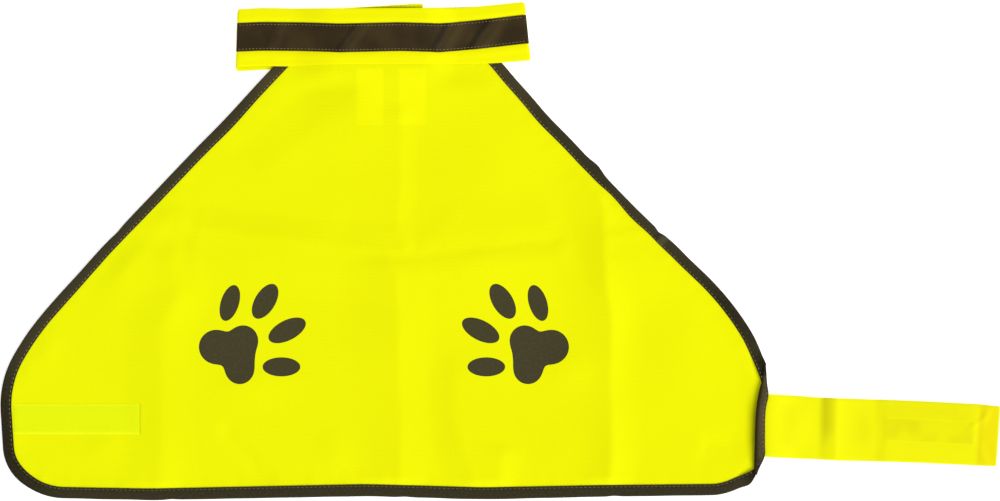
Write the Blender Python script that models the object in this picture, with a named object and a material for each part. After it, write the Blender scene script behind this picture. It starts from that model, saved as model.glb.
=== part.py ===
"""Dog safety vest laid flat, back panel down, seen from its face.

A bright cloth panel has a dark bias binding folded over its edge. A neck band is
sewn across the panel's top, closed into a loop behind and carries a reflective tape.
A belly strap comes out of the binding on the right, where the panel's edge has
turned over onto the face. Every piece is cloth: a middle surface given one wall.

Lengths are millimetres in the tables and metres in the meshes.
X runs across the vest, Y runs towards the collar, Z is up from the table.
"""
import math

import bpy
import numpy as np
from mathutils import Vector
from mathutils.geometry import delaunay_2d_cdt

MM = 0.001

# Walls and the air between neighbouring pieces
CLOTH = 1.0
BAND = 1.2
GAP = 0.3

# Bias binding
BINDING_WIDTH = 9.0
FOLD_RADIUS = 1.3
SHORT_LEG = 2.2
EDGE_INSET = 2.0
EDGE_INSET_AT_ENDS = 3.0
RISE = CLOTH + GAP
RISE_RUN = 10.0
RISE_START = 10.0
LEG_START = 20.0
LEG_RUN = 15.0

# Station spacing along the panel's edge, near the neck and elsewhere, and in corners
LONG_STEP = 24.0
NECK_STEP = 7.0
CORNER_STEP = 0.16

# Neck band and its reflective tape
COLLAR_HALF = 24.0
TAPE_HALF = 11.9
HAIRPIN_STEPS = 6
NECK_LIFT_TOP = 150.0
NECK_LIFT_FOOT = 121.0
NECK_SHIFT = 8.2

# Turned edge on the right: the panel's fold line and where its turned tab runs
FOLD_X = 219.3
TAB_HIGH = -115.0
TAB_LOW = -170.0
TAB_ROWS = 8
FLAP_CLEAR = 2.6
TURNED_BASE = CLOTH + GAP

# Outline of the bound edge, from the collar's left round to the collar's right
EDGE_ROWS = [
    # corner, x, y, radius
    ("neck left", -178.8, 163.4, 0.0),
    ("left slope", -331.5, 2.6, 761.0),
    ("left hip", -391.8, -64.3, 248.0),
    ("left side high", -417.5, -108.7, 92.0),
    ("left side low", -412.8, -183.4, 46.0),
    ("lower left", -381.6, -206.1, 63.0),
    ("bottom left", -290.2, -207.9, 390.0),
    ("bottom rise left", -111.6, -204.4, 492.0),
    ("bottom middle", -13.4, -207.1, 398.0),
    ("bottom rise right", 80.3, -205.1, 417.0),
    ("lower right", 194.3, -203.7, 50.0),
    ("right side low", 222.0, -179.4, 45.0),
    ("right side high", 223.9, -91.4, 108.0),
    ("right hip", 192.0, -39.7, 238.0),
    ("right slope", 103.4, 44.4, 817.0),
    ("neck right", -9.8, 167.4, 0.0),
]

# Where the binding's outer edge stops and where its stitched edge reaches
CROSSING_LOW = ((213.7, -188.7), (211.6, -181.8))
CROSSING_HIGH = ((221.6, -95.0), (217.9, -109.8))

# Binding of the turned edge, top to bottom
TURNED_ROWS = [
    # y, fold edge x, stitched edge x, top z
    (-106.9, 219.3, 222.2, 4.4),
    (-110.6, 218.1, 222.3, 4.9),
    (-114.8, 216.3, 222.7, 5.7),
    (-119.4, 215.0, 224.2, 6.4),
    (-124.8, 213.8, 223.2, 6.4),
    (-130.6, 213.1, 222.2, 6.4),
    (-138.1, 212.4, 221.7, 6.4),
    (-152.3, 212.0, 221.0, 6.4),
    (-164.8, 211.8, 221.0, 6.4),
    (-171.0, 211.7, 221.1, 6.4),
    (-176.5, 211.7, 218.2, 5.8),
    (-180.5, 212.0, 216.2, 5.0),
]

# Neck band, one length of cloth from its hidden left end to its hidden right end
COLLAR_BACK_LEFT = [
    # x, centre y, middle z, slant
    (-65.0, 180.8, 0.6, 0.03),
    (-217.6, 173.1, 0.6, 0.03),
]
COLLAR_FRONT = [
    # x, centre y, middle z, slant
    (-217.6, 176.4, 3.4, 0.03),
    (-198.3, 177.8, 3.4, 0.02),
    (-175.0, 177.8, 3.4, 0.0),
    (-138.0, 177.8, 7.5, 0.0),
    (-83.3, 178.0, 7.5, 0.0),
    (-64.0, 178.2, 7.5, 0.0),
    (-34.0, 179.0, 3.4, -0.03),
    (-16.7, 180.0, 3.4, -0.05),
    (0.0, 181.2, 3.4, -0.08),
    (19.7, 183.4, 3.4, -0.104),
]
COLLAR_BACK_RIGHT = [
    # x, centre y, middle z, slant
    (19.7, 183.0, 0.6, -0.104),
    (-16.7, 180.2, 0.6, -0.05),
    (-48.0, 178.9, 0.6, 0.0),
    (-68.0, 178.3, 4.7, 0.0),
    (-135.0, 177.7, 4.7, 0.0),
]
TAPE_CENTRE = [
    # x, centre y
    (-217.0, 178.1),
    (-198.0, 178.9),
    (-166.7, 178.5),
    (-133.3, 177.3),
    (-83.3, 178.5),
    (-50.0, 177.7),
    (-16.7, 180.6),
    (20.0, 184.4),
]

# Belly strap, from its root inside the turned binding to its hem
STRAP_ROWS = [
    # x, centre y, half width, underside z
    (216.0, -145.3, 25.7, 3.9),
    (224.0, -145.6, 26.0, 3.9),
    (252.0, -147.3, 26.0, 0.0),
    (262.0, -147.9, 25.8, 0.0),
    (273.0, -148.5, 25.8, 1.0),
    (284.0, -149.0, 25.8, 0.0),
    (300.0, -149.4, 25.8, 0.0),
    (318.0, -149.9, 25.7, 1.5),
    (350.0, -151.0, 25.5, 1.5),
    (398.0, -153.4, 25.4, 1.5),
    (412.8, -154.6, 24.8, 1.5),
]
STRAP_ROOT_SLANT = 0.058
STRAP_END_SLANT = 0.068
HEM_LENGTH = 16.0
HEM_RADIUS = 0.75

# Pieces made from the panel's points: places along x, then along y
BELLY_LOOP_X = (-405.2, -399.8, -394.8, -390.0, -372.0, -352.0, -330.0, -314.0, -299.2)
BELLY_LOOP_Y = (-153.5, -146.0, -140.5, -135.0, -127.7)
CARE_LABEL_X = (-119.2, -106.0, -96.0, -83.3, -72.0, -61.7)
CARE_LABEL_Y = (104.4, 112.0, 121.5, 129.0, 136.0, 143.0, 150.0, 151.6)
CARE_LABEL_RUN = 8.0

# Flat pieces: left, right, low and high edges
COLLAR_PATCH = (-126.0, -72.0, 160.0, 198.0)
COLLAR_HOOK_Z = 1.5
COLLAR_LOOP_Z = 2.8
STRAP_HOOK_X = (321.7, 394.2)
STRAP_HOOK_HALF = 9.6
STRAP_HOOK_SHIFT = 1.2

# Soft fold lines left in the panel by its packing
FOLD_ROWS = [
    # fold, x0, y0, x1, y1, half width, height
    ("left upright", -261.7, 60.0, -261.7, -190.0, 15.0, 1.4),
    ("middle upright", -83.3, 92.0, -83.3, -190.0, 14.0, 1.2),
    ("right upright", 90.0, 60.0, 90.0, -190.0, 15.0, 1.8),
    ("cross left", -250.0, 26.9, -80.8, 5.2, 14.0, 1.2),
    ("cross middle", -80.8, 5.2, 50.0, 6.0, 14.0, 1.2),
    ("cross right", 50.0, 6.0, 120.0, 19.0, 14.0, 1.2),
]
FOLD_END_FADE = 25.0
FOLD_EDGE_START = 21.0
FOLD_EDGE_RUN = 16.0

# Triangulation of the panel
GRID_COLUMNS = [
    -392.0, -372.0, -352.0, -330.0, -308.0, -290.0, -275.0, -267.0, -261.7, -256.0, -248.0,
    -232.0, -214.0, -196.0, -178.0, -160.0, -142.0, -129.0, -120.5, -106.0, -96.0, -88.5,
    -83.3, -78.0, -70.0, -60.5, -52.0, -40.0, -24.0, -8.0, 10.0, 28.0, 46.0, 62.0, 75.0,
    84.0, 90.0, 96.0, 105.0, 118.0, 136.0, 156.0, 176.0, 196.0, 210.0,
]
GRID_ROWS = [
    157.0, 150.0, 143.0, 136.0, 129.0, 121.5, 112.0, 103.0, 95.0, 78.0, 60.0, 44.0, 34.0,
    26.0, 19.0, 12.0, 5.0, -2.0, -11.0, -24.0, -42.0, -60.0, -78.0, -96.0, -114.0, -132.0,
    -150.0, -168.0, -184.0,
]
NECK_COLUMNS = [
    -186.0, -175.0, -168.8, -162.7, -156.5, -150.3, -144.2, -138.0, -129.0, -119.2, -106.0, -96.0,
    -83.3, -72.0, -64.0, -59.0, -54.0, -49.0, -44.0, -39.0, -34.0, -24.0, -10.0,
]
RING_INSETS = (11.0, 16.0, 21.0)
GRID_CLEAR = 4.2

# Principled base colours, linear
COLOURS = {
    "hi_vis_cloth": (0.86, 0.90, 0.006),
    "hi_vis_band": (0.91, 0.90, 0.007),
    "binding_tape": (0.042, 0.037, 0.019),
    "reflective_tape": (0.050, 0.034, 0.014),
    "fastener_loop": (0.84, 0.92, 0.02),
    "fastener_hook": (0.70, 0.74, 0.03),
    "label_cloth": (0.80, 0.80, 0.74),
}
CLOTH_ROUGHNESS = 0.85


def clear_scene():
    for thing in list(bpy.data.objects):
        bpy.data.objects.remove(thing, do_unlink=True)


def cloth_material(slot):
    material = bpy.data.materials.new(slot)
    material.use_nodes = True
    shader = material.node_tree.nodes["Principled BSDF"]
    shader.inputs["Base Color"].default_value = (*COLOURS[slot], 1.0)
    shader.inputs["Roughness"].default_value = CLOTH_ROUGHNESS
    return material


def smooth(value):
    t = np.clip(value, 0.0, 1.0)
    return t * t * (3.0 - 2.0 * t)


def eased(rows, column, x):
    """Value of a table column at x, easing softly from each row to the next."""
    table = sorted((row[0], row[column]) for row in rows)
    xs = np.array([row[0] for row in table])
    values = np.array([row[1] for row in table])
    at = np.clip(np.asarray(x, dtype=float), xs[0], xs[-1])
    low = np.clip(np.searchsorted(xs, at, side="right") - 1, 0, len(xs) - 2)
    t = (at - xs[low]) / (xs[low + 1] - xs[low])
    return values[low] + (values[low + 1] - values[low]) * smooth(t)


def straight(rows, column, x):
    table = sorted((row[0], row[column]) for row in rows)
    return np.interp(x, [row[0] for row in table], [row[1] for row in table])


class EdgePath:
    """Line with rounded corners, read by the distance along it."""

    def __init__(self, rows):
        points = [np.array(rows[0][1:3])]
        for before, corner, after in zip(rows, rows[1:], rows[2:]):
            points.extend(self.corner_points(before, corner, after))
        points.append(np.array(rows[-1][1:3]))
        self.points = self.divided(points)
        steps = np.diff(self.points, axis=0)
        lengths = np.linalg.norm(steps, axis=1)
        self.along = np.concatenate([[0.0], np.cumsum(lengths)])
        normals = np.column_stack([-steps[:, 1], steps[:, 0]]) / lengths[:, None]
        at_points = np.vstack([normals[:1], normals[:-1] + normals[1:], normals[-1:]])
        self.normals = at_points / np.linalg.norm(at_points, axis=1)[:, None]

    @staticmethod
    def corner_points(before, corner, after):
        middle = np.array(corner[1:3])
        back = np.array(before[1:3]) - middle
        ahead = np.array(after[1:3]) - middle
        reach = 0.5 * min(np.linalg.norm(back), np.linalg.norm(ahead))
        back = back / np.linalg.norm(back)
        ahead = ahead / np.linalg.norm(ahead)
        half_angle = 0.5 * math.acos(float(np.clip(back @ ahead, -1.0, 1.0)))
        tangent = min(corner[3] / math.tan(half_angle), reach)
        radius = tangent * math.tan(half_angle)
        inward = (back + ahead) / np.linalg.norm(back + ahead)
        centre = middle + inward * radius / math.sin(half_angle)
        start = middle + back * tangent - centre
        turn = math.pi - 2.0 * half_angle
        if back[0] * ahead[1] - back[1] * ahead[0] > 0.0:
            turn = -turn
        count = max(2, math.ceil(abs(turn) * radius / min(LONG_STEP, radius * CORNER_STEP)))
        result = []
        for step in range(count + 1):
            angle = turn * step / count
            c = math.cos(angle)
            s = math.sin(angle)
            result.append(centre + np.array([start[0] * c - start[1] * s, start[0] * s + start[1] * c]))
        return result

    @staticmethod
    def divided(points):
        result = [points[0]]
        for a, b in zip(points, points[1:]):
            length = float(np.linalg.norm(b - a))
            if length < GAP:
                continue
            count = max(1, math.ceil(length / LONG_STEP))
            pieces = [a + (b - a) * step / count for step in range(count + 1)]
            for start, end in zip(pieces, pieces[1:]):
                near_neck = max(start[1], end[1]) > NECK_LIFT_FOOT - LONG_STEP
                finer = math.ceil(length / count / NECK_STEP) if near_neck else 1
                result.extend(start + (end - start) * (k + 1) / finer for k in range(finer))
        return np.array(result)

    def at(self, along, inset):
        x = np.interp(along, self.along, self.points[:, 0])
        y = np.interp(along, self.along, self.points[:, 1])
        nx = np.interp(along, self.along, self.normals[:, 0])
        ny = np.interp(along, self.along, self.normals[:, 1])
        size = math.hypot(nx, ny)
        return np.array([x + inset * nx / size, y + inset * ny / size])

    def foot(self, x, y):
        """Distance from the line and the place along it, for one point."""
        a = self.points[:-1]
        step = self.points[1:] - a
        offset = np.array([x, y]) - a
        t = np.clip((offset * step).sum(axis=1) / (step * step).sum(axis=1), 0.0, 1.0)
        away = np.linalg.norm(offset - step * t[:, None], axis=1)
        best = int(away.argmin())
        length = self.along[best + 1] - self.along[best]
        return float(away[best]), float(self.along[best] + t[best] * length)

    def stations(self, start, end):
        inner = [s for s in self.along if start + CLOTH < s < end - CLOTH]
        return [start, *inner, end]

    def where_y(self, y, from_start):
        """Place along the line where it first crosses y, counted from one end."""
        order = range(len(self.along) - 1)
        if not from_start:
            order = reversed(order)
        for k in order:
            low, high = sorted((self.points[k][1], self.points[k + 1][1]))
            if low <= y <= high and high > low:
                t = (y - self.points[k][1]) / (self.points[k + 1][1] - self.points[k][1])
                return float(self.along[k] + t * (self.along[k + 1] - self.along[k]))
        return 0.0


EDGE = EdgePath(EDGE_ROWS)


def collar_low_edge(x):
    return straight(COLLAR_FRONT, 1, x) - COLLAR_HALF


STRETCHES = {
    "left": (
        EDGE.where_y(collar_low_edge(-188.0) - 2 * GAP, True),
        EDGE.foot(*CROSSING_LOW[0])[1],
    ),
    "right": (
        EDGE.foot(*CROSSING_HIGH[0])[1],
        EDGE.where_y(collar_low_edge(-12.0) - 2 * GAP, False),
    ),
}


def end_distance(along):
    """How far a place on the edge lies inside the bound stretch that holds it."""
    return max(min(along - start, end - along) for start, end in STRETCHES.values())


def lower_leg(along):
    shown = float(smooth((end_distance(along) - LEG_START) / LEG_RUN))
    return SHORT_LEG + (BINDING_WIDTH - SHORT_LEG) * shown


def panel_inset(along):
    shown = float(smooth((end_distance(along) - LEG_START) / LEG_RUN))
    return EDGE_INSET_AT_ENDS + (EDGE_INSET - EDGE_INSET_AT_ENDS) * shown


def edge_rise(away, along):
    """How far the panel climbs to go over the binding's lower leg."""
    amount = float(smooth((end_distance(along) - RISE_START) / RISE_RUN))
    plateau = lower_leg(along) + 2 * CLOTH
    return RISE * amount * float(smooth((plateau + RISE_RUN - away) / RISE_RUN))


def neck_share(y):
    return float(smooth((y - NECK_LIFT_FOOT) / (NECK_LIFT_TOP - NECK_LIFT_FOOT)))


def neck_lift(x, y):
    """The panel climbs onto the back layers of the collar near the neck."""
    tucked = float(eased(COLLAR_FRONT, 2, x)) - BAND / 2 - GAP - CLOTH
    return tucked * neck_share(y)


def label_lift(x, y):
    left, right, low = CARE_LABEL_X[0], CARE_LABEL_X[-1], CARE_LABEL_Y[0]
    beside = max(left - x, x - right, low - y, 0.0)
    shown = float(smooth(1.0 - (beside - CLOTH) / CARE_LABEL_RUN))
    return (CLOTH + GAP) * shown * (1.0 - neck_share(y))


def fold_lift(x, y, away):
    best = 0.0
    for _, x0, y0, x1, y1, half, height in FOLD_ROWS:
        length = math.hypot(x1 - x0, y1 - y0)
        ux = (x1 - x0) / length
        uy = (y1 - y0) / length
        run = (x - x0) * ux + (y - y0) * uy
        side = abs((y - y0) * ux - (x - x0) * uy)
        past = max(-run, run - length, 0.0)
        if side >= half or past >= FOLD_END_FADE:
            continue
        shape = math.cos(0.5 * math.pi * side / half) ** 2
        best = max(best, height * shape * float(smooth(1.0 - past / FOLD_END_FADE)))
    return best * float(smooth((away - FOLD_EDGE_START) / FOLD_EDGE_RUN))


def panel_underside(x, y):
    away, along = EDGE.foot(x, y)
    folds = fold_lift(x, y, away) * (1.0 - neck_share(y))
    return neck_lift(x, y) + edge_rise(away, along) + label_lift(x, y) + folds


def cloth_object(name, points, normals, triangles, wall, material):
    """Closed solid: both faces of a middle surface and the rim between them."""
    count = len(points)
    points = np.asarray(points, dtype=float)
    normals = np.asarray(normals, dtype=float)
    both = np.vstack([points + normals * wall / 2, points - normals * wall / 2])
    faces = [tuple(t) for t in triangles]
    faces += [(c + count, b + count, a + count) for a, b, c in triangles]
    edges = {(t[k], t[(k + 1) % 3]) for t in triangles for k in range(3)}
    for a, b in sorted(edges):
        if (b, a) not in edges:
            faces.append((b, a, a + count))
            faces.append((b, a + count, b + count))
    mesh = bpy.data.meshes.new(name)
    mesh.from_pydata([tuple(p) for p in both * MM], [], faces)
    mesh.validate()
    mesh.update()
    mesh.materials.append(material)
    result = bpy.data.objects.new(name, mesh)
    bpy.context.scene.collection.objects.link(result)
    return result


def grid_cloth(name, grid, wall, material):
    """Cloth through a grid of points; its face is where rows cross columns."""
    grid = np.asarray(grid, dtype=float)
    rows, columns = grid.shape[:2]
    normals = np.cross(np.gradient(grid, axis=0), np.gradient(grid, axis=1))
    normals /= np.linalg.norm(normals, axis=2)[:, :, None]
    triangles = []
    for i in range(rows - 1):
        for j in range(columns - 1):
            a = i * columns + j
            b = a + columns
            triangles.append((a, b, b + 1))
            triangles.append((a, b + 1, a + 1))
    return cloth_object(name, grid.reshape(-1, 3), normals.reshape(-1, 3), triangles, wall, material)


def panel_boundary():
    """Bound edge, turned fold line and tucked top edge, anticlockwise."""
    low = STRETCHES["left"][1]
    high = STRETCHES["right"][0]
    total = float(EDGE.along[-1])
    left = [EDGE.at(s, panel_inset(s)) for s in EDGE.stations(0.0, low)]
    fold = [np.array([FOLD_X, y]) for y in np.linspace(TAB_LOW, TAB_HIGH, TAB_ROWS)]
    right = [EDGE.at(s, panel_inset(s)) for s in EDGE.stations(high, total)]
    ends = (left[0], right[-1])
    top = []
    for x in reversed(NECK_COLUMNS):
        if ends[0][0] + GRID_CLEAR < x < ends[1][0] - GRID_CLEAR:
            share = (x - ends[0][0]) / (ends[1][0] - ends[0][0])
            top.append(np.array([x, ends[0][1] + (ends[1][1] - ends[0][1]) * share]))
    return left, fold, right, top


def inside_polygon(point, polygon):
    x, y = point
    inside = False
    for (x0, y0), (x1, y1) in zip(polygon, np.roll(polygon, -1, axis=0)):
        if (y0 > y) != (y1 > y) and x < x0 + (y - y0) * (x1 - x0) / (y1 - y0):
            inside = not inside
    return inside


def boundary_distance(point, polygon):
    ahead = np.roll(polygon, -1, axis=0) - polygon
    offset = np.asarray(point) - polygon
    t = np.clip((offset * ahead).sum(axis=1) / (ahead * ahead).sum(axis=1), 0.0, 1.0)
    return float(np.linalg.norm(offset - ahead * t[:, None], axis=1).min())


def panel_inner_points(polygon):
    points = []
    for start, end in STRETCHES.values():
        for s in EDGE.stations(start, end):
            for inset in RING_INSETS:
                points.append(EDGE.at(s, inset))
    for y in GRID_ROWS:
        for x in NECK_COLUMNS if y > NECK_LIFT_FOOT else GRID_COLUMNS:
            away, _ = EDGE.foot(x, y)
            if away > RING_INSETS[-1] + GRID_CLEAR or y > NECK_LIFT_FOOT:
                points.append(np.array([x, y]))
    kept = []
    for point in points:
        if not inside_polygon(point, polygon) or boundary_distance(point, polygon) < GRID_CLEAR:
            continue
        if kept and np.linalg.norm(np.array(kept) - point, axis=1).min() < GRID_CLEAR:
            continue
        kept.append(point)
    return kept


def turned_edge_x(y):
    return float(straight(TURNED_ROWS, 1, y))


def build_panel(material):
    left, fold, right, top = panel_boundary()
    polygon = np.array([*left, *fold, *right, *top])
    flat = [*polygon, *panel_inner_points(polygon)]
    loop = [(k, (k + 1) % len(polygon)) for k in range(len(polygon))]
    coords = [Vector((float(p[0]), float(p[1]))) for p in flat]
    placed, _, faces, sources, _, _ = delaunay_2d_cdt(coords, loop, [], 1, 1e-6)
    found = {source: k for k, group in enumerate(sources) for source in group}
    points = [(p.x, p.y, panel_underside(p.x, p.y) + CLOTH / 2) for p in placed]
    normals = [(0.0, 0.0, 1.0)] * len(points)
    triangles = []
    for a, b, c in faces:
        turn = (placed[b] - placed[a]).cross(placed[c] - placed[a])
        triangles.append((a, b, c) if turn > 0.0 else (a, c, b))

    previous = [found[len(left) + k] for k in range(len(fold))]
    columns = [("bend", math.pi * k / HAIRPIN_STEPS) for k in range(1, HAIRPIN_STEPS + 1)]
    columns.append(("flat", math.pi))
    for kind, angle in columns:
        current = []
        for _, y in fold:
            x = FOLD_X + FOLD_RADIUS * math.sin(angle)
            if kind == "flat":
                x = turned_edge_x(y) + FLAP_CLEAR
            current.append(len(points))
            points.append((x, y, CLOTH / 2 + FOLD_RADIUS * (1.0 - math.cos(angle))))
            normals.append((-math.sin(angle), 0.0, math.cos(angle)))
        for k in range(len(fold) - 1):
            triangles.append((previous[k], current[k], current[k + 1]))
            triangles.append((previous[k], current[k + 1], previous[k + 1]))
        previous = current
    return cloth_object("back_panel", points, normals, triangles, CLOTH, material)


def binding_section(leg, upper, top):
    """Inset and height of each column of a folded strip, lower leg first."""
    radius = top / 2 - CLOTH / 2
    bend = radius + CLOTH / 2
    section = [(max(leg, bend + GAP), CLOTH / 2)]
    for k in range(5):
        angle = math.pi * k / 4
        section.append((bend - radius * math.sin(angle), CLOTH / 2 + radius * (1.0 - math.cos(angle))))
    section.append((max(upper, bend + 2 * GAP), top - CLOTH / 2))
    return section


def build_binding(name, stretch, starts_at_neck, tip, material):
    start, end = STRETCHES[stretch]
    neck_shift = -NECK_SHIFT if starts_at_neck else NECK_SHIFT
    top = 2 * FOLD_RADIUS + CLOTH
    grid = []
    for s in EDGE.stations(start, end):
        neck_end = s - start if starts_at_neck else end - s
        shift = neck_shift * float(smooth(1.0 - neck_end / (3 * BINDING_WIDTH)))
        row = []
        for inset, height in binding_section(lower_leg(s), BINDING_WIDTH, top):
            x, y = EDGE.at(s + shift * inset / BINDING_WIDTH, inset)
            at_tip = s == (end if starts_at_neck else start)
            if at_tip:
                share = inset / BINDING_WIDTH
                x, y = EDGE.at(s, 0.0) * (1.0 - share) + np.array(tip) * share
            row.append((x, y, neck_lift(x, y) + height))
        grid.append(row[::-1])
    return grid_cloth(name, grid, CLOTH, material)


def build_turned_binding(material):
    grid = []
    for y, fold_x, stitched_x, top in TURNED_ROWS:
        width = stitched_x - fold_x
        leg = min(width - FOLD_RADIUS, FOLD_X - fold_x)
        section = binding_section(leg, width, top - TURNED_BASE)
        grid.append([(fold_x + inset, y, TURNED_BASE + height) for inset, height in section])
    return grid_cloth("binding_turned", grid, CLOTH, material)


def stretch_stations(rows, direction):
    """Places along x of one stretch of the collar, close together where it climbs."""
    ordered = sorted(rows, key=lambda row: row[0] * direction)
    places = []
    for a, b in zip(ordered, ordered[1:]):
        climbs = abs(a[2] - b[2]) > GAP
        count = 6 if climbs else max(1, math.ceil(abs(a[0] - b[0]) / (2 * LONG_STEP)))
        places += [a[0] + (b[0] - a[0]) * k / count for k in range(count)]
    places.append(ordered[-1][0])
    return [
        (x, float(straight(rows, 1, x)), float(eased(rows, 2, x)), float(straight(rows, 3, x)))
        for x in places
    ]


def hairpin(start, end, side):
    """Half circle from one stretch to the next, out to the left or right."""
    radius = abs(end[2] - start[2]) / 2
    rises = 1.0 if end[2] > start[2] else -1.0
    result = []
    for k in range(1, HAIRPIN_STEPS):
        share = k / HAIRPIN_STEPS
        angle = math.pi * share
        result.append((
            start[0] + side * radius * math.sin(angle),
            start[1] + (end[1] - start[1]) * share,
            start[2] + rises * radius * (1.0 - math.cos(angle)),
            start[3] + (end[3] - start[3]) * share,
        ))
    return result


def collar_path():
    back_left = stretch_stations(COLLAR_BACK_LEFT, -1)
    front = stretch_stations(COLLAR_FRONT, 1)
    back_right = stretch_stations(COLLAR_BACK_RIGHT, -1)
    left_turn = hairpin(back_left[-1], front[0], -1)
    right_turn = hairpin(front[-1], back_right[0], 1)
    tape_from = len(back_left) + len(left_turn) - 1
    tape_to = len(back_left) + len(left_turn) + len(front)
    return back_left + left_turn + front + right_turn + back_right, tape_from, tape_to


def band_grid(path, half, centre_of=None, lift=0.0):
    """Rows of points across a band that follows a path of (x, y, z, slant)."""
    xz = np.array([(p[0], p[2]) for p in path])
    ahead = np.gradient(xz, axis=0)
    ahead /= np.linalg.norm(ahead, axis=1)[:, None]
    grid = []
    for (x, y, z, slant), (ax, az) in zip(path, ahead):
        centre = y if centre_of is None else centre_of(x)
        row = []
        for share in (-1.0, -0.35, 0.35, 1.0):
            across = half * share
            row.append((x - az * lift + slant * (centre + across - y), centre + across, z + ax * lift))
        grid.append(row)
    return grid


def strap_path():
    path = []
    for a, b in zip(STRAP_ROWS, STRAP_ROWS[1:]):
        count = 5 if abs(a[3] - b[3]) > GAP else 2
        path += [a[0] + (b[0] - a[0]) * k / count for k in range(count)]
    path.append(STRAP_ROWS[-1][0])
    rows = []
    for x in path:
        slant = STRAP_ROOT_SLANT * float(smooth((STRAP_ROWS[2][0] - x) / 30.0))
        slant += STRAP_END_SLANT * float(smooth((x - STRAP_ROWS[7][0]) / 60.0))
        z = float(eased(STRAP_ROWS, 3, x)) + BAND / 2
        rows.append((x, float(straight(STRAP_ROWS, 1, x)), z, slant))
    end = rows[-1]
    hem_start = (end[0], end[1], end[2] - 2 * HEM_RADIUS, end[3])
    hem_end = (end[0] - HEM_LENGTH, end[1] + 0.06 * HEM_LENGTH, hem_start[2], end[3])
    return rows + hairpin(end, hem_start, 1) + [hem_start, hem_end]


def build_strap(material):
    path = strap_path()
    grid = []
    for x, y, z, slant in path:
        half = float(straight(STRAP_ROWS, 2, x))
        row = []
        for share in (-1.0, -0.35, 0.35, 1.0):
            row.append((x + slant * half * share, y + half * share, z))
        grid.append(row)
    return grid_cloth("belly_strap", grid, BAND, material)


def laid_patch(name, xs, ys, offset, wall, material):
    """Piece made from the panel's own points, moved up or down."""
    grid = []
    for x in xs:
        row = []
        for y in ys:
            row.append((x, y, panel_underside(x, y) + CLOTH / 2 + offset))
        grid.append(row)
    return grid_cloth(name, grid, wall, material)


def flat_patch(name, corners, underside, wall, material):
    """Level piece with its corners given low edge first, left to right."""
    (a, b), (c, d) = corners
    grid = [[(*a, 0.0), (*c, 0.0)], [(*b, 0.0), (*d, 0.0)]]
    lifted = np.array(grid) + np.array([0.0, 0.0, underside + wall / 2])
    return grid_cloth(name, lifted, wall, material)


def build_fasteners(materials):
    left, right, low, high = COLLAR_PATCH
    corners = (((left, low), (right, low)), ((left, high), (right, high)))
    flat_patch("collar_hook", corners, COLLAR_HOOK_Z, CLOTH, materials["fastener_hook"])
    flat_patch("collar_loop", corners, COLLAR_LOOP_Z, CLOTH, materials["fastener_loop"])
    near, far = STRAP_HOOK_X
    near_y = float(straight(STRAP_ROWS, 1, near)) + STRAP_HOOK_SHIFT
    far_y = float(straight(STRAP_ROWS, 1, far)) + STRAP_HOOK_SHIFT
    corners = (
        ((near, near_y - STRAP_HOOK_HALF), (far, far_y - STRAP_HOOK_HALF)),
        ((near, near_y + STRAP_HOOK_HALF), (far, far_y + STRAP_HOOK_HALF)),
    )
    flat_patch("strap_hook", corners, 0.0, BAND, materials["fastener_hook"])


def build_vest():
    clear_scene()
    materials = {slot: cloth_material(slot) for slot in COLOURS}
    dark = materials["binding_tape"]
    build_panel(materials["hi_vis_cloth"])
    build_binding("binding_left_bottom", "left", True, CROSSING_LOW[1], dark)
    build_binding("binding_right", "right", False, CROSSING_HIGH[1], dark)
    build_turned_binding(dark)
    path, tape_from, tape_to = collar_path()
    grid_cloth("collar_band", band_grid(path, COLLAR_HALF), BAND, materials["hi_vis_band"])
    tape = band_grid(
        path[tape_from:tape_to + 1],
        TAPE_HALF,
        lambda x: float(straight(TAPE_CENTRE, 1, x)),
        BAND / 2 + GAP + CLOTH / 2,
    )
    grid_cloth("collar_tape", tape, CLOTH, materials["reflective_tape"])
    build_strap(materials["hi_vis_band"])
    over = CLOTH + GAP
    laid_patch("belly_loop", BELLY_LOOP_X, BELLY_LOOP_Y, over, CLOTH, materials["fastener_loop"])
    laid_patch("care_label", CARE_LABEL_X, CARE_LABEL_Y, -over, CLOTH, materials["label_cloth"])
    build_fasteners(materials)


build_vest()
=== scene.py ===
import math

import bpy
import numpy as np
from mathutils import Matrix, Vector
from mathutils.geometry import delaunay_2d_cdt


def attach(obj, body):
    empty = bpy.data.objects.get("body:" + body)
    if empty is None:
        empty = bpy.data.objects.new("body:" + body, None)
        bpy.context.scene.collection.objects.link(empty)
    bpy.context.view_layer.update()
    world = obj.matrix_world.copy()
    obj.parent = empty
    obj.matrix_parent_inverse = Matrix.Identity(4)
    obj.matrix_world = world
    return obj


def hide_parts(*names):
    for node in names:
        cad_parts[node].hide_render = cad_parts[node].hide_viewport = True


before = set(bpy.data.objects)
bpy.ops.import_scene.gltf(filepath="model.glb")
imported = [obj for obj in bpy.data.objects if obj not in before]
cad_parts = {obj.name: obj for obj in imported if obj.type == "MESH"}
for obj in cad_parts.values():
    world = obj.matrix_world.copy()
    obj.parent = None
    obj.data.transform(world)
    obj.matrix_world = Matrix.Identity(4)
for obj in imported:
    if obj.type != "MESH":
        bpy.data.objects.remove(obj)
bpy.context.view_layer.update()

MM = 0.001
FULL_TURN = 2.0 * math.pi

# Photograph: how it is framed
PHOTO_PIXELS = (1000, 501)
PIXELS_PER_MM = 1.2
CAMERA_HEIGHT = 3000.0
SENSOR_WIDTH = 36.0
VIEW_CENTRE = (0.0, -0.2)

# Walls of the cloth shells, the solids' walls, and the air between shells that touch
CLOTH = 0.6
CAD_CLOTH = 1.0
BAND = 0.8
TOUCH = 0.03

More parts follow.
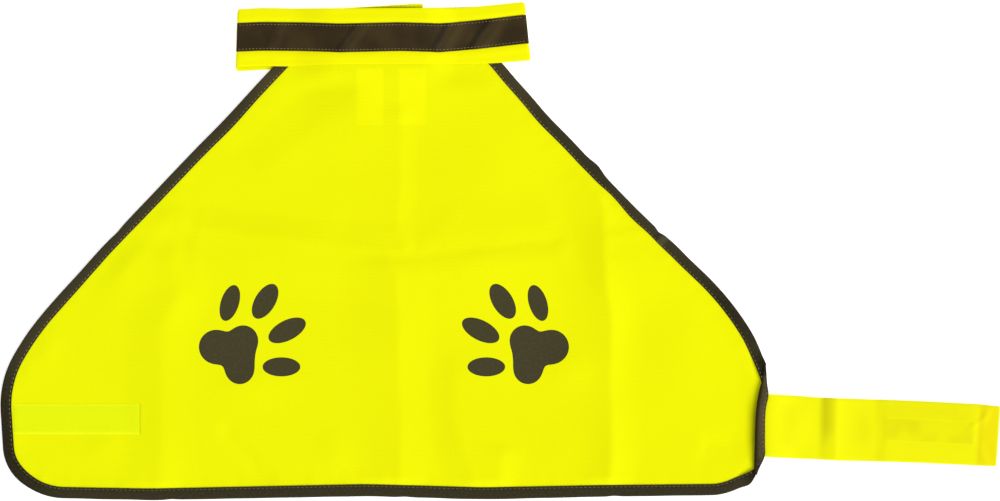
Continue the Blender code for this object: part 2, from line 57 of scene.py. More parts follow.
# Mesh: steps in millimetres, limits, and numbers of rows and columns
PANEL_STEP = 3.0
ROW_SHARE = 0.866
EDGE_STEP = 2.5
BINDING_STEP = 1.25
BAND_STEP = 1.6
LAID_STEP = 1.6
LINE_STEP = 1.0
CREASE_SAMPLE = 1.0
SHORTEST_RUN = 0.3
FLOW_REACH = 4.0
CLEAR_OF_EDGE = 0.45
CLEAR_OF_PRINT = 0.35
SAME_POINT = 1e-6
POINTS_AT_ONCE = 4000
SHARP_DEGREES = 55.0
BAND_COLUMNS = 33
EDGE_WEIGHT = 0.35
TAPE_COLUMNS = 17
LEVEL_COLUMNS = 12
BEND_ROWS = 9
HAIRPIN_STEPS = 10

# Bias binding: its fold and legs, its rise at the ends, and the relief of its upper leg
BINDING_WIDTH = 9.0
FOLD_RADIUS = 1.3
SHORT_LEG = 2.2
EDGE_INSET = 2.0
EDGE_INSET_AT_ENDS = 3.0
RISE = 1.3
LOFT = 1.15
RISE_RUN = 10.0
RISE_START = 10.0
LEG_START = 20.0
LEG_RUN = 15.0
LEG_MARGIN = 2.0
UPPER_INSETS = (1.7, 2.6, 3.6, 4.6, 5.6, 6.4, 7.0, 7.5, 8.1, 8.6, 9.0)
BEND_REACH = 1.1
BEND_LEAST = 1.2
PUFF_HEIGHT = 0.45
PUFF_POWER = 0.8
PUFF_UNEVEN = 0.25
PUFF_UNEVEN_LENGTH = 13.0
GROOVE_DEPTH = 0.22
GROOVE_HALF = 0.75
STITCH_PULL = 0.4
PINCH_DIP = 0.25
FREE_EDGE_START = 0.6
FREE_EDGE_LIFT = 0.12
EDGE_WAVER = 0.15
EDGE_WAVER_LENGTH = 31.0

# Stitches: places, pitch, thread length and thickness
STITCH_INSET = 7.5
STITCH_MARGIN = 1.6
STITCH_PITCH = 3.7
STITCH_LENGTH = 2.3
THREAD_RADIUS = 0.23
STITCH_SINK = 0.8
STITCH_SEED = 7
STITCH_RISE = 0.55
STITCH_ARCH = 0.75
STITCH_RINGS = [
    # place from the middle to an end, size
    (-1.0, 0.35),
    (-0.6, 0.85),
    (0.0, 1.0),
    (0.6, 0.85),
    (1.0, 0.35),
]
THREAD_SIDES = 6
TURNED_STITCHES = (-171.0, -118.0)
TAPE_PITCH = 2.9
TAPE_STITCH = 2.0
TAPE_THREAD = 0.17
TAPE_STITCH_SHIFT = 0.4
FINE_PITCH = 2.8
FINE_STITCH = 2.3
FINE_THREAD = 0.12
LAID_STITCH_INSET = 1.3
LAID_GROOVE_HALF = 0.8
LAID_GROOVE = 0.3
LAID_RIM_RUN = 4.0
LOOP_SWELL = 0.15
LOOP_WALL = 0.25
RIM_DIP = 0.2
RIM_REACH = 0.5

# Neck: collar, tape, and how the panel climbs and is tucked under them
COLLAR_HALF = 24.0
COLLAR_WAIST = 0.8
COLLAR_WAIST_REACH = 95.0
COLLAR_WAIST_RUN = 50.0
TAPE_HALF = 11.9
TAPE_SINK = 0.63
TAPE_SINK_RUN = 2.5
PEEP_RISE = 4.8
CORNER_ROUND = 0.7
PEEP_FOOT = 198.3
PEEP_RUN = 7.7
NECK_LIFT_TOP = 150.0
NECK_LIFT_FOOT = 132.0
NECK_SLOPE_FOOT = 62.0
NECK_SHIFT = 8.2
NECK_STACK = 1.4
NECK_SEAMS = (-188.0, -6.0)
NECK_TUCK = 1.5

# Turned edge: the panel's fold, its flap, and the binding on it
FOLD_X = 219.3
TAB_HIGH = -115.0
TAB_LOW = -170.0
FLAP_CLEAR = 2.6
FLAP_SHARES = (0.33, 0.67, 1.0)
TURNED_BASE = 1.3
TURNED_SINK = 0.15
TURNED_LEAST = 0.9
TURNED_SHARES = np.linspace(0.22, 1.0, 10)[None, :]
TURNED_BEND = 80.0
TURNED_LEG = 0.4
TURNED_FULL = 5.0

# Outline of the bound edge, from the collar's left round to the collar's right
EDGE_ROWS = [
    # corner, x, y, radius
    ("neck left", -178.8, 163.4, 0.0),
    ("left slope", -331.5, 2.6, 761.0),
    ("left hip", -391.8, -64.3, 248.0),
    ("left side high", -417.5, -108.7, 92.0),
    ("left side low", -412.8, -183.4, 46.0),
    ("lower left", -381.6, -206.1, 63.0),
    ("bottom left", -290.2, -207.9, 390.0),
    ("bottom rise left", -111.6, -204.4, 492.0),
    ("bottom middle", -13.4, -207.1, 398.0),
    ("bottom rise right", 80.3, -205.1, 417.0),
    ("lower right", 194.3, -203.7, 50.0),
    ("right side low", 222.0, -179.4, 45.0),
    ("right side high", 223.9, -91.4, 108.0),
    ("right hip", 192.0, -39.7, 238.0),
    ("right slope", 103.4, 44.4, 817.0),
    ("neck right", -9.8, 167.4, 0.0),
]
# Where each stretch of binding stops at the turned edge: outer corner, stitched tip
CROSSINGS = {
    "left": ((213.7, -188.7), (211.6, -181.8)),
    "right": ((221.6, -95.0), (217.9, -109.8)),
}
TIP_REACH = {"left": 10.0, "right": 22.0}
TIP_LIFT = 2.2
TIP_RUN = 18.0
TIP_ROLL = 0.9
TIP_ROLL_RUN = 2.2
NECK_FLOOR = 0.93

# Small pinches of the binding: where on the outer edge, how deep and how long
KINKS = [
    # x, y, depth, half length
    (-274.0, -207.0, 0.5, 5.0),
    (-79.0, -205.0, 0.6, 6.0),
    (95.0, -205.0, 0.6, 5.0),
    (133.0, 15.8, 1.3, 3.5),
    (-314.0, 10.0, 0.5, 6.0),
]
# Where the binding as laid leaves the drawn outline: inward shift of its outer edge and of
# its stitched edge, and half the length of that stretch
EDGE_SHIFTS = [
    # x, y, outer edge, stitched edge, half length
    (-230.0, 109.0, 0.7, 1.1, 24.0),
    (-328.0, 5.0, 0.1, -0.5, 35.0),
    (-402.0, -192.0, 0.0, 0.9, 16.0),
    (-90.0, -205.0, -0.55, 0.65, 280.0),
    (206.0, -192.5, -2.3, -1.4, 6.0),
    (221.5, -95.0, -1.2, 0.0, 6.0),
    (147.0, 4.0, -0.6, -0.3, 11.0),
    (128.0, 20.0, 0.2, -0.8, 12.0),
    (99.0, 49.0, 0.0, -2.0, 17.0),
    (81.0, 70.0, -1.7, -0.3, 8.0),
    (40.0, 112.0, 0.9, 1.3, 20.0),
    (3.0, 154.0, -0.6, -1.0, 10.0),
]

# Binding of the turned edge, top to bottom, its ends tucked under the other stretches
TURNED_ROWS = [
    # y, fold edge x, stitched edge x, top z
    (-97.5, 219.6, 221.5, 2.6),
    (-102.0, 219.0, 221.9, 2.9),
    (-106.9, 218.4, 222.2, 3.4),
    (-110.6, 217.6, 222.3, 4.2),
    (-114.8, 216.2, 222.7, 5.3),
    (-119.4, 215.1, 224.0, 6.2),
    (-124.8, 214.0, 222.5, 6.4),
    (-130.6, 213.4, 221.2, 6.4),
    (-138.1, 212.7, 220.5, 6.4),
    (-152.3, 212.2, 220.3, 6.4),
    (-164.8, 211.9, 220.4, 6.4),
    (-171.0, 211.7, 220.9, 6.4),
    (-176.5, 211.5, 218.2, 5.4),
    (-180.5, 211.4, 216.2, 4.2),
    (-184.5, 211.6, 214.4, 3.0),
    (-187.0, 212.0, 213.6, 2.6),
]

COLLAR_BACK_LEFT = [
    # x, centre y, middle z, slant
    (-65.0, 181.9, 0.6, 0.03),
    (-217.6, 173.1, 0.6, 0.03),
]
COLLAR_FRONT = [
    # x, centre y, middle z, slant
    (-217.6, 176.4, 3.4, 0.03),
    (-198.3, 177.5, 3.4, 0.02),
    (-175.0, 177.1, 3.4, 0.0),
    (-138.0, 177.8, 7.5, 0.0),
    (-83.3, 178.0, 7.5, 0.0),
    (-64.0, 178.2, 7.5, 0.0),
    (-34.0, 178.3, 3.4, -0.03),
    (-16.7, 179.0, 3.4, -0.05),
    (0.0, 180.2, 3.4, -0.08),
    (21.4, 182.4, 3.4, -0.104),
]
COLLAR_BACK_RIGHT = [
    # x, centre y, middle z, slant
    (21.4, 182.0, 0.6, -0.104),
    (-16.7, 179.2, 0.6, -0.05),
    (-48.0, 178.9, 0.6, 0.0),
    (-68.0, 178.3, 4.7, 0.0),
    (-135.0, 177.7, 4.7, 0.0),
]
# The stack of bands at the neck swells the panel below it, less and less far down
NECK_SWELLING = [
    # x, lift
    (-165.0, 1.6),
    (-100.0, 5.0),
    (-70.0, 5.0),
    (10.0, 1.6),
]
TAPE_CENTRE = [
    # x, centre y
    (-217.0, 177.2),
    (-198.0, 178.0),
    (-166.7, 177.7),
    (-133.3, 176.4),
    (-83.3, 177.5),
    (-50.0, 176.6),
    (-16.7, 179.6),
    (21.7, 184.1),
]
COLLAR_CREASES = [
    # x at the tape's centre, lean, depth, half width
    (-188.3, 0.40, 0.45, 2.4),
    (-124.0, 0.75, 0.80, 3.0),
    (-45.5, 0.60, 0.95, 3.8),
    (-12.0, 0.80, 0.95, 4.0),
]
BAND_WAVE = 0.12
BAND_WAVE_LENGTH = 47.0
# Cloth beside the tape: where it swells, half width, rise, unevenness and its length; half
# width and depth of the groove along the tape; the troughs' unevenness, its pace, their fade
BAND_SWELL = (4.0, 3.0, 0.35, 0.2, 26.0)
BAND_GROOVE = (1.4, 0.2)
BAND_TROUGHS = (0.3, 3.1, 5.0)
BAND_MARGIN = 2.0
FACE_RUN = 6.0
ROLL_ROWS = 4.0
EDGE_ROLL = 0.35
EDGE_ROLL_RUN = 1.8

STRAP_ROWS = [
    # x, centre y, half width, underside z
    (216.0, -145.7, 25.7, 3.9),
    (224.0, -146.0, 26.0, 3.9),
    (252.0, -147.7, 26.0, 0.0),
    (262.0, -148.3, 25.8, 0.0),
    (284.0, -149.4, 25.8, 0.0),
    (311.0, -150.1, 25.8, 0.0),
    (323.0, -150.4, 25.7, 1.5),
    (350.0, -151.4, 25.5, 1.5),
    (398.0, -153.8, 25.4, 1.5),
    (413.8, -155.0, 24.8, 1.5),
]
STRAP_ROOT_SLANT = 0.058
STRAP_ROOT_RUN = 30.0
STRAP_END_SLANT = 0.068
STRAP_END_RUN = 60.0
STRAP_ROLL_RUN = 8.0
STRAP_WAVE_LENGTH = 34.0
STRAP_WAVER = 0.001
STRAP_WAVER_LENGTH = 45.0
HEM_LENGTH = 16.0
HEM_RADIUS = 0.75
HEM_SLANT = 0.06
HEM_ROWS = 7
HEM_SWELL = 0.35
HEM_STITCH_INSET = 2.2
HEM_GROOVE = (0.9, 0.3)
PATCH_SWELL = 0.3
PATCH_SWELL_RUN = 2.5
PATCH_STITCH_INSET = 1.6
PATCH_GROOVE = (0.8, 0.18)
STRAP_BANDS = [
    # x, y from the centre line, half width, half height, rise
    (249.0, 2.0, 9.0, 17.0, 1.1),
    (310.0, -3.0, 8.0, 14.0, 0.8),
    (352.0, 0.0, 12.0, 9.0, 0.3),
    (388.0, 12.0, 9.0, 8.0, 0.5),
]
# Foot, crest, rise, run behind the crest, lean
STRAP_CREASE = (265.5, 280.0, 2.1, 8.5, 0.03)
# Small folds where the hem's seam draws the cloth
HEM_PUCKER_HALF = 2.4
HEM_PUCKER_REACH = 8.0
HEM_PUCKERS = [
    # x, y from the centre line, lean, height
    (403.5, 17.0, 0.3, 0.55),
    (396.0, 9.0, 1.1, 0.4),
    (404.0, -19.0, -0.6, 0.5),
    (409.0, -14.0, -0.5, -0.4),
]

# Flat pieces: left, right, low, high
BELLY_LOOP = (-405.2, -299.2, -153.5, -127.7)
CARE_LABEL = (-119.2, -61.7, 104.4, 151.6)
LABEL_MIDDLE = -90.5
COLLAR_PATCH = (-126.0, -72.0, 160.0, 198.0)
COLLAR_HOOK_Z = 1.5
COLLAR_LOOP_Z = 2.8
STRAP_HOOK_X = (321.7, 394.2)
STRAP_HOOK_HALF = 9.6
STRAP_HOOK_SHIFT = 1.2
STRAP_PATCH = (*STRAP_HOOK_X, STRAP_HOOK_SHIFT - STRAP_HOOK_HALF, STRAP_HOOK_SHIFT + STRAP_HOOK_HALF)
FASTENER_WAVE = 0.05
FASTENER_WAVE_LENGTH = 22.0

# Creases of the panel: each is a line whose crest (or trough, below zero) falls away over
# a width on the left and on the right of its direction, straight for a power near one
CREASES = [
    # fold, its points, height, width to the left, to the right, power, crest rounding, fade
    ("left upright", ((-273.2, -8.9), (-266.5, -34.2), (-282.4, -65.5), (-280, -108.1),
                      (-281.5, -150), (-281.6, -195)),
     2.0, 25, 30, 1.5, 4.0, 22),
    ("middle upper", ((-80.9, 110), (-86, 18)), 1.41, 15, 41, 1.6, 0.8, 14),
    ("middle lower", ((-87.5, -14.9), (-84.4, -75), (-82.9, -195)), 2.6, 32, 47, 1.5, 0.8, 14),
    ("right upright", ((84.1, 58), (86.2, 8.5), (92.3, -65.9), (92.4, -195)), 3.5, 27, 43, 2.1, 0.8, 14),
    ("cross left", ((-247.2, 18.3), (-208.5, 12.4), (-181, 10), (-136.1, 3.2), (-85, 1.5)),
     2.3, 20, 47, 1.2, 1.0, 16),
    ("cross left low", ((-250, -12.3), (-217.2, -7.6), (-197.9, -6.9)), 0.47, 12, 24, 1.3, 3.0, 14),
    ("cross right rise", ((-69.7, -7.8), (-41.7, -6), (0.7, -4.2), (42.8, 9.3)),
     2.94, 52, 62, 1.6, 0.8, 20),
    ("cross right", ((-79.9, -6.9), (-41.9, -3.2), (0, 1.7), (42.8, 8.7)), -1.57, 17, 14, 1.5, 0.8, 16),
    ("cross right lift", ((-37.9, 29.9), (-70.8, -4.1)), 0.57, 29, 13, 1.5, 3.0, 12),
    ("cross end", ((90, 10.1), (113, 15.1)), 0.6, 8, 11, 1.5, 0.5, 8),
    ("neck slant", ((-105.4, 129.7), (-187.2, 71.2)), 0.39, 35, 15, 1.4, 4.0, 24),
    ("neck side", ((-136.4, 152.2), (-213.1, 86.4)), -1.1, 24, 17, 1.4, 4.0, 20),
    ("low middle", ((-37.8, -107.6), (-37.2, -133.4), (-32.1, -158), (-25.1, -183.8), (-20.8, -196.2)),
     1.96, 48, 22, 1.5, 2.0, 24),
    ("low left", ((-226, -153), (-208.6, -173.6), (-195.9, -192.6)), -0.96, 11, 11, 1.5, 1.5, 14),
    ("low second", ((2.3, -170.8), (-1.6, -195.3)), 1.8, 18, 26, 1.5, 2.0, 12),
    ("turned trough", ((173.2, -163.1), (204.2, -160.1)), -0.94, 15, 14, 1.5, 2.0, 8),
    ("turned corner", ((166.9, -175.2), (201.9, -171.5)), -0.54, 11, 14, 1.5, 2.0, 8),
]
CREASE_WAVER = [
    # sideways, pace along the crease, turn from crease to crease
    (0.8, 15.0, 1.0),
    (0.4, 6.3, 2.0),
]
CREASE_UNEVEN = 0.15
CREASE_UNEVEN_PACE = 21.0
CREASE_EDGE_START = 9.0
CREASE_EDGE_RUN = 6.0
SWELLING_EDGE_RUN = 20.0

# Soft swellings of the panel between its creases
SWELLINGS = [
    # x, y, half width, half height, rise
    (-311, -9, 22, 24, 1.9),
    (-288, 32, 19, 14, 2.43),
    (-272, 49, 9, 6, 1.25),
    (-263, 22, 9, 10, 1.19),
    (-384, -65, 13, 22, 3.11),
    (-397, -94, 8, 14, 2.29),
    (-330, -163, 14, 12, 0.88),
    (-136, -167, 15, 22, 0.84),
    (54, -162, 14, 18, 0.53),
    (106, -13, 35, 35, 3.26),
    (156, -69, 30, 47, 1.89),
    (-14, 72, 49, 47, 2.13),
    (-189, -19, 45, 24, 0.77),
    (-202, -110, 27, 14, 1.31),
    (58, -96, 22, 20, 2.05),
]
SWELL = 0.3
SWELL_LENGTH = 95.0
SWELL_START = 14.0
SWELL_RUN = 20.0
PUCKER_REACH = 7.0
PUCKER_RUN = 3.0
PUCKERS = [
    # height, pace along the edge, turn
    (0.12, 2.3, 0.0),
    (0.16, 4.1, 1.0),
]
# Under the turned edge the panel has no creases: the left, the low and the high side of that
# place, each with the run over which they fade out
LEVEL_LEFT = (205.0, 14.0)
LEVEL_LOW = (-186.0, 6.0)
LEVEL_HIGH = (-92.0, 12.0)

# Paw print: toes and pad lobes of the left one; the other is its mirror image
PAW_MIRROR_X = -96.7
TOES = [
    # centre x, centre y, width, length, lean to the right from upright in degrees
    (-225.0, -43.9, 15.2, 31.0, 17.5),
    (-195.6, -42.5, 17.2, 32.4, 31.0),
    (-177.3, -66.7, 16.8, 34.0, 63.0),
    (-182.0, -97.1, 15.9, 31.4, 90.0),
]
PAD_LOBES = [
    # centre x, centre y, radius
    (-236.6, -80.5, 14.2),
    (-213.8, -74.8, 12.2),
    (-216.7, -99.8, 11.6),
    (-217.2, -88.0, 11.6),
]
PAD_JOIN = 3.2
PAD_REACH = 45.0
HALVINGS = 30
OUTLINE_POINTS = 64

# Weaves: metres from thread to thread, the twill's slope, and what fibres and weave do
KNIT_PITCH = 0.0011
BAND_PITCH = 0.0014
TWILL_PITCH = 0.0008
TAPE_WEAVE = 0.0006
SATIN_PITCH = 0.0005
TWILL_SLOPE = 1.4
FIBRE_SCALE = 2600.0
FIBRE_ROUGH = 0.2
WEAVE_SMOOTH = 0.08
SHEEN_ROUGHNESS = 0.6
# Nap of the fasteners: scale and depth
LOOP_NAP = (700.0, 0.00008)
HOOK_NAP = (900.0, 0.0003)

# Colours, linear
YELLOW = (0.786, 0.826, 0.0024)
BAND_YELLOW = (0.845, 0.835, 0.0022)
LABEL_YELLOW = (0.866, 0.868, 0.0024)
STRAP_YELLOW = (0.826, 0.822, 0.0045)
STRAP_END_YELLOW = (0.81, 0.775, 0.0050)
# Darker yellow on the strap: painted shade beside its swellings, and the hook patch showing through
SHADE_AND_PATCH_YELLOW = (0.73, 0.695, 0.0050)
# Painted shade behind the strap's crease
CREASE_SHADE_YELLOW = (0.60, 0.555, 0.0045)
HEM_YELLOW = (0.81, 0.70, 0.0050)
SHADE_YELLOW = (0.33, 0.33, 0.0020)
LOOP_YELLOW = (0.735, 0.835, 0.0045)
HOOK_YELLOW = (0.66, 0.70, 0.03)
OLIVE = (0.038, 0.0325, 0.0150)
OLIVE_WORN = (0.074, 0.063, 0.034)
TURNED_OLIVE = (0.074, 0.060, 0.025)
TURNED_WORN = (0.125, 0.090, 0.050)
TAPE_BROWN = (0.042, 0.0275, 0.0085)
TAPE_DARK = (0.022, 0.0135, 0.0050)
# Painted highlight beside the tape's troughs
TAPE_HIGHLIGHT = (0.075, 0.055, 0.020)
TAPE_START = -219.5
INK = (0.046, 0.040, 0.0165)
# Painted shade on the panel along the turned binding, where its raised fold shadows it: left, right, low,
# high, softness
FOLD_SHADE = (203.0, 212.5, -167.0, -128.0, 12.0)
# Darker places on the strap: the first two are painted shade on the shaded side of its first two swellings,
# the last two darker cloth over and above the hook patch
STRAP_SHADE_AND_SHOW_THROUGH = [
    # left, right, low, high of the strap's cut, softness, share
    (234.0, 246.0, 10.0, 44.0, 7.0, 0.30),
    (296.0, 306.0, 14.0, 42.0, 6.0, 0.20),
    (STRAP_HOOK_X[0] - 2.0, STRAP_HOOK_X[1], 14.0, 60.0, 4.0, 0.30),
    (STRAP_HOOK_X[0], STRAP_HOOK_X[1] - 14.0, 40.0, 48.0, 3.5, 0.35),
]
# Places where a tone starts and where it is full: on the panel, the strap and the thread
PANEL_BRIGHTER = (-420.0, 230.0)
LABEL_FOLD_SHOWN = (5.0, 8.0)
STRAP_WORN = (250.0, 420.0)
STRAP_HEM_SHOWN = (397.0, 401.0)
STRAP_SHADE_SHOWN = (4.0, 30.0)
THREAD_LOW = (-140.0, -200.0)
THREAD_RIGHT = (40.0, 120.0)
THREAD_END = (215.0, 210.0)
# How far the painted shade behind the strap's crease leans, how wide the pale line along a seam
# shows (on the belly's loop strip a painted highlight), and across the binding's cut its fold,
# all of its width, and how far it is rubbed beside the fold
STRAP_SHADE_DRAWN = 7.0
SEAM_REACH = 1.3
BINDING_FOLD = 8.5
BINDING_ACROSS = (-50.0, 50.0)
RUB_REACH = 4.0
# Stretches of the bindings with another tone; some are painted shadow at the crossings with the turned
# binding, and painted highlight and shade at the right stretch's kink
DEEP_OLIVE = (0.0125, 0.0100, 0.0040)
WARM_OLIVE = (0.103, 0.073, 0.035)
# Painted shadow in the deepest pockets where the bindings cross
POCKET_SHADOW = (0.0015, 0.0012, 0.0005)
LEFT_ZONES = [
    # from, to, softness, share, tone
    (0.0, 35.0, 22.0, 0.8, (0.075, 0.060, 0.022)),
    (35.0, 330.0, 30.0, 0.9, (0.0440, 0.0375, 0.0170)),
    (350.0, 460.0, 40.0, 0.85, DEEP_OLIVE),
    (480.0, 1040.0, 30.0, 0.9, (0.0320, 0.0270, 0.0125)),
    # painted shadow at this stretch's end, where it meets the turned binding
    (1047.0, 1075.0, 5.0, 0.8, DEEP_OLIVE),
    (1053.5, 1075.0, 2.0, 0.97, POCKET_SHADOW),
]
RIGHT_ZONES = [
    # from, to, softness, share, tone
    # painted shadow at this stretch's tip, where it rolls over the turned binding
    (-5.0, 12.0, 4.0, 0.9, DEEP_OLIVE),
    (-5.0, 5.5, 2.0, 0.97, POCKET_SHADOW),
    (35.0, 85.0, 25.0, 0.6, DEEP_OLIVE),
    # painted highlight and painted shade on the two sides of the fold at the kink
    (136.0, 141.0, 2.5, 0.6, (0.110, 0.100, 0.048)),
    (143.5, 146.0, 1.5, 0.7, DEEP_OLIVE),
    (146.0, 200.0, 15.0, 0.6, (0.045, 0.040, 0.018)),
    (290.0, 350.0, 20.0, 0.4, (0.075, 0.060, 0.022)),
]
# Across the turned binding: where its shade starts and where it is full
TURNED_SHADE = (13.2, 10.0)
TURNED_ZONES = [
    # from, to, softness, share, tone
    # painted shadow at the top end, under the right stretch's tip
    (-5.0, 7.0, 2.0, 0.9, POCKET_SHADOW),
    (30.0, 62.0, 10.0, 0.5, WARM_OLIVE),
    # painted shadow at the bottom end, where it meets the left stretch
    (76.0, 95.0, 4.0, 0.75, DEEP_OLIVE),
    (83.0, 95.0, 2.0, 0.9, POCKET_SHADOW),
]
THREAD = (0.35, 0.295, 0.18)
THREAD_DULL = (0.17, 0.14, 0.08)
TAPE_THREAD_TAN = (0.36, 0.30, 0.18)
FINE_YELLOW = (0.86, 0.93, 0.012)
LABEL = (0.80, 0.80, 0.74)

# Studio
FLOOR_Z = -0.4
FLOOR_HALF = 4.0
FLOOR_CORNERS = [(-1, -1), (1, -1), (1, 1), (-1, 1)]
FLOOR_GREY = (0.9, 0.9, 0.9, 1.0)
FLOOR_ROUGHNESS = 0.9
FLOOR_SPECULAR = 0.1
FLOOR_GLOW = 0.45
WHITE = (1.0, 1.0, 1.0, 1.0)
WORLD_STRENGTH = 0.672
SUN_STRENGTH = 2.32
SUN_SPREAD = 45.0
SUN_TURN = -35.0
SUN_HEIGHT = 40.0


# ---------------------------------------------------------------- small maths

def smooth(value):
    t = np.clip(value, 0.0, 1.0)
    return t * t * (3.0 - 2.0 * t)


def column(rows, index):
    table = sorted((row[0], row[index]) for row in rows)
    return np.array([r[0] for r in table]), np.array([r[1] for r in table])


def eased(rows, index, x):
    """Value of a table column at x, easing softly from each row to the next."""
    xs, values = column(rows, index)
    at = np.clip(np.asarray(x, dtype=float), xs[0], xs[-1])
    low = np.clip(np.searchsorted(xs, at, side="right") - 1, 0, len(xs) - 2)
    t = (at - xs[low]) / (xs[low + 1] - xs[low])
    return values[low] + (values[low + 1] - values[low]) * smooth(t)


def straight(rows, index, x):
    xs, values = column(rows, index)
    return np.interp(x, xs, values)


def flowing(rows, index, x):
    """Like straight, with the corners at the rows rounded off."""
    spread = FLOW_REACH * np.linspace(-1.0, 1.0, 5)
    xs, values = column(rows, index)
    return np.mean([np.interp(np.asarray(x) + s, xs, values) for s in spread], axis=0)


def bell(value, half):
    """One at zero, falling off softly to both sides."""
    return np.exp(-((value / half) ** 2))


def ripple(x, y, length, seed):
    """Uneven waves of about one length, between -1 and 1: four that cross, each with its own turn."""
    total = 0.0
    for k in range(4):
        turn = seed * 1.7 + k * 2.4
        pace = FULL_TURN / (length * (0.8 + 0.19 * k))
        total = total + np.sin(pace * (x * math.cos(turn) + y * math.sin(turn)) + seed * 3.1 + k * 5.3)
    return total / 4.0


def dense(places, step):
    """Points about a step apart on the straight runs from place to place."""
    places = np.array(places, dtype=float)
    points = [places[0]]
    for a, b in zip(places, places[1:]):
        length = float(np.linalg.norm(b - a))
        if length < SHORTEST_RUN:
            continue
        count = max(1, round(length / step))
        points.extend(a + (b - a) * (k + 1) / count for k in range(count))
    return np.array(points)


def nearest(x, y, starts, steps):
    """Distance from each point to the nearest segment, which one that is, and the share along it."""
    length2 = (steps * steps).sum(axis=1)
    away, which, share = np.empty(len(x)), np.empty(len(x), dtype=int), np.empty(len(x))
    for low in range(0, len(x), POINTS_AT_ONCE):
        part = slice(low, low + POINTS_AT_ONCE)
        dx = x[part, None] - starts[None, :, 0]
        dy = y[part, None] - starts[None, :, 1]
        t = np.clip((dx * steps[:, 0] + dy * steps[:, 1]) / length2, 0.0, 1.0)
        gap = np.hypot(dx - steps[:, 0] * t, dy - steps[:, 1] * t)
        best = gap.argmin(axis=1)
        rows = np.arange(len(best))
        away[part], which[part], share[part] = gap[rows, best], best, t[rows, best]
    return away, which, share


# ---------------------------------------------------------------- bound edge

class EdgePath:
    """Line with rounded corners, read by the distance along it."""

    def __init__(self, rows, step):
        corners = [np.array(rows[0][1:3])]
        for before, corner, after in zip(rows, rows[1:], rows[2:]):
            corners.extend(self.rounded(before, corner, after, step))
        corners.append(np.array(rows[-1][1:3]))
        self.points = dense(corners, step)
        steps = np.diff(self.points, axis=0)
        lengths = np.linalg.norm(steps, axis=1)
        self.along = np.concatenate([[0.0], np.cumsum(lengths)])
        normals = np.column_stack([-steps[:, 1], steps[:, 0]]) / lengths[:, None]
        at_points = np.vstack([normals[:1], normals[:-1] + normals[1:], normals[-1:]])
        self.normals = at_points / np.linalg.norm(at_points, axis=1)[:, None]
        self.end = float(self.along[-1])

    @staticmethod
    def rounded(before, corner, after, step):
        middle = np.array(corner[1:3])
        back = np.array(before[1:3]) - middle
        ahead = np.array(after[1:3]) - middle
        reach = 0.5 * min(np.linalg.norm(back), np.linalg.norm(ahead))
        back = back / np.linalg.norm(back)
        ahead = ahead / np.linalg.norm(ahead)
        half_angle = 0.5 * math.acos(float(np.clip(back @ ahead, -1.0, 1.0)))
        tangent = min(corner[3] / math.tan(half_angle), reach)
        radius = tangent * math.tan(half_angle)
        inward = (back + ahead) / np.linalg.norm(back + ahead)
        centre = middle + inward * radius / math.sin(half_angle)
        start = middle + back * tangent - centre
        turn = math.pi - 2.0 * half_angle
        if back[0] * ahead[1] - back[1] * ahead[0] > 0.0:
            turn = -turn
        count = max(2, math.ceil(abs(turn) * radius / step))
        angles = turn * np.arange(count + 1) / count
        c, s = np.cos(angles), np.sin(angles)
        arc = np.column_stack([start[0] * c - start[1] * s, start[0] * s + start[1] * c])
        return list(centre + arc)

    def at(self, along, inset):
        along = np.asarray(along, dtype=float)
        x, y = (np.interp(along, self.along, self.points[:, k]) for k in (0, 1))
        nx, ny = (np.interp(along, self.along, self.normals[:, k]) for k in (0, 1))
        size = np.hypot(nx, ny)
        return x + inset * nx / size, y + inset * ny / size

    def foot(self, x, y):
        """Distances from the line and the places along it, for arrays of points."""
        x, y = np.broadcast_arrays(np.asarray(x, dtype=float), np.asarray(y, dtype=float))
        steps = np.diff(self.points, axis=0)
        away, which, share = nearest(x.ravel(), y.ravel(), self.points[:-1], steps)
        along = self.along[which] + share * np.linalg.norm(steps, axis=1)[which]
        return away.reshape(x.shape), along.reshape(x.shape)

    def where_y(self, y, from_start):
        """Place along the line where it first comes to a height, from its start or its end."""
        order = range(len(self.along) - 1)
        for k in order if from_start else reversed(order):
            low, high = sorted((self.points[k][1], self.points[k + 1][1]))
            if low <= y <= high and high > low:
                t = (y - self.points[k][1]) / (self.points[k + 1][1] - self.points[k][1])
                return float(self.along[k] + t * (self.along[k + 1] - self.along[k]))
        return 0.0


EDGE = EdgePath(EDGE_ROWS, EDGE_STEP)


def collar_low_edge(x):
    return float(straight(COLLAR_FRONT, 1, x)) - COLLAR_HALF


STRETCHES = {
    "left": (
        EDGE.where_y(collar_low_edge(NECK_SEAMS[0]) + NECK_TUCK, True),
        float(EDGE.foot(*CROSSINGS["left"][0])[1]),
    ),
    "right": (
        float(EDGE.foot(*CROSSINGS["right"][0])[1]),
        EDGE.where_y(collar_low_edge(NECK_SEAMS[1]) + NECK_TUCK, False),
    ),
}


def end_distance(along):
    """How far a place on the edge is from the ends of its stretch of binding."""
    spans = [np.minimum(along - start, end - along) for start, end in STRETCHES.values()]
    return np.maximum(np.maximum(*spans), 0.0)


def off_ends(along, at_ends, between):
    """A measure that differs near the ends of a binding."""
    return at_ends + (between - at_ends) * smooth((end_distance(along) - LEG_START) / LEG_RUN)


def lower_leg(along):
    return off_ends(along, SHORT_LEG, BINDING_WIDTH)


def panel_inset(along):
    return off_ends(along, EDGE_INSET_AT_ENDS, EDGE_INSET)


# ---------------------------------------------------------------- panel's relief

def neck_share(y):
    """Zero on the free panel, one where it is tucked under the collar."""
    return smooth((y - NECK_LIFT_FOOT) / (NECK_LIFT_TOP - NECK_LIFT_FOOT))


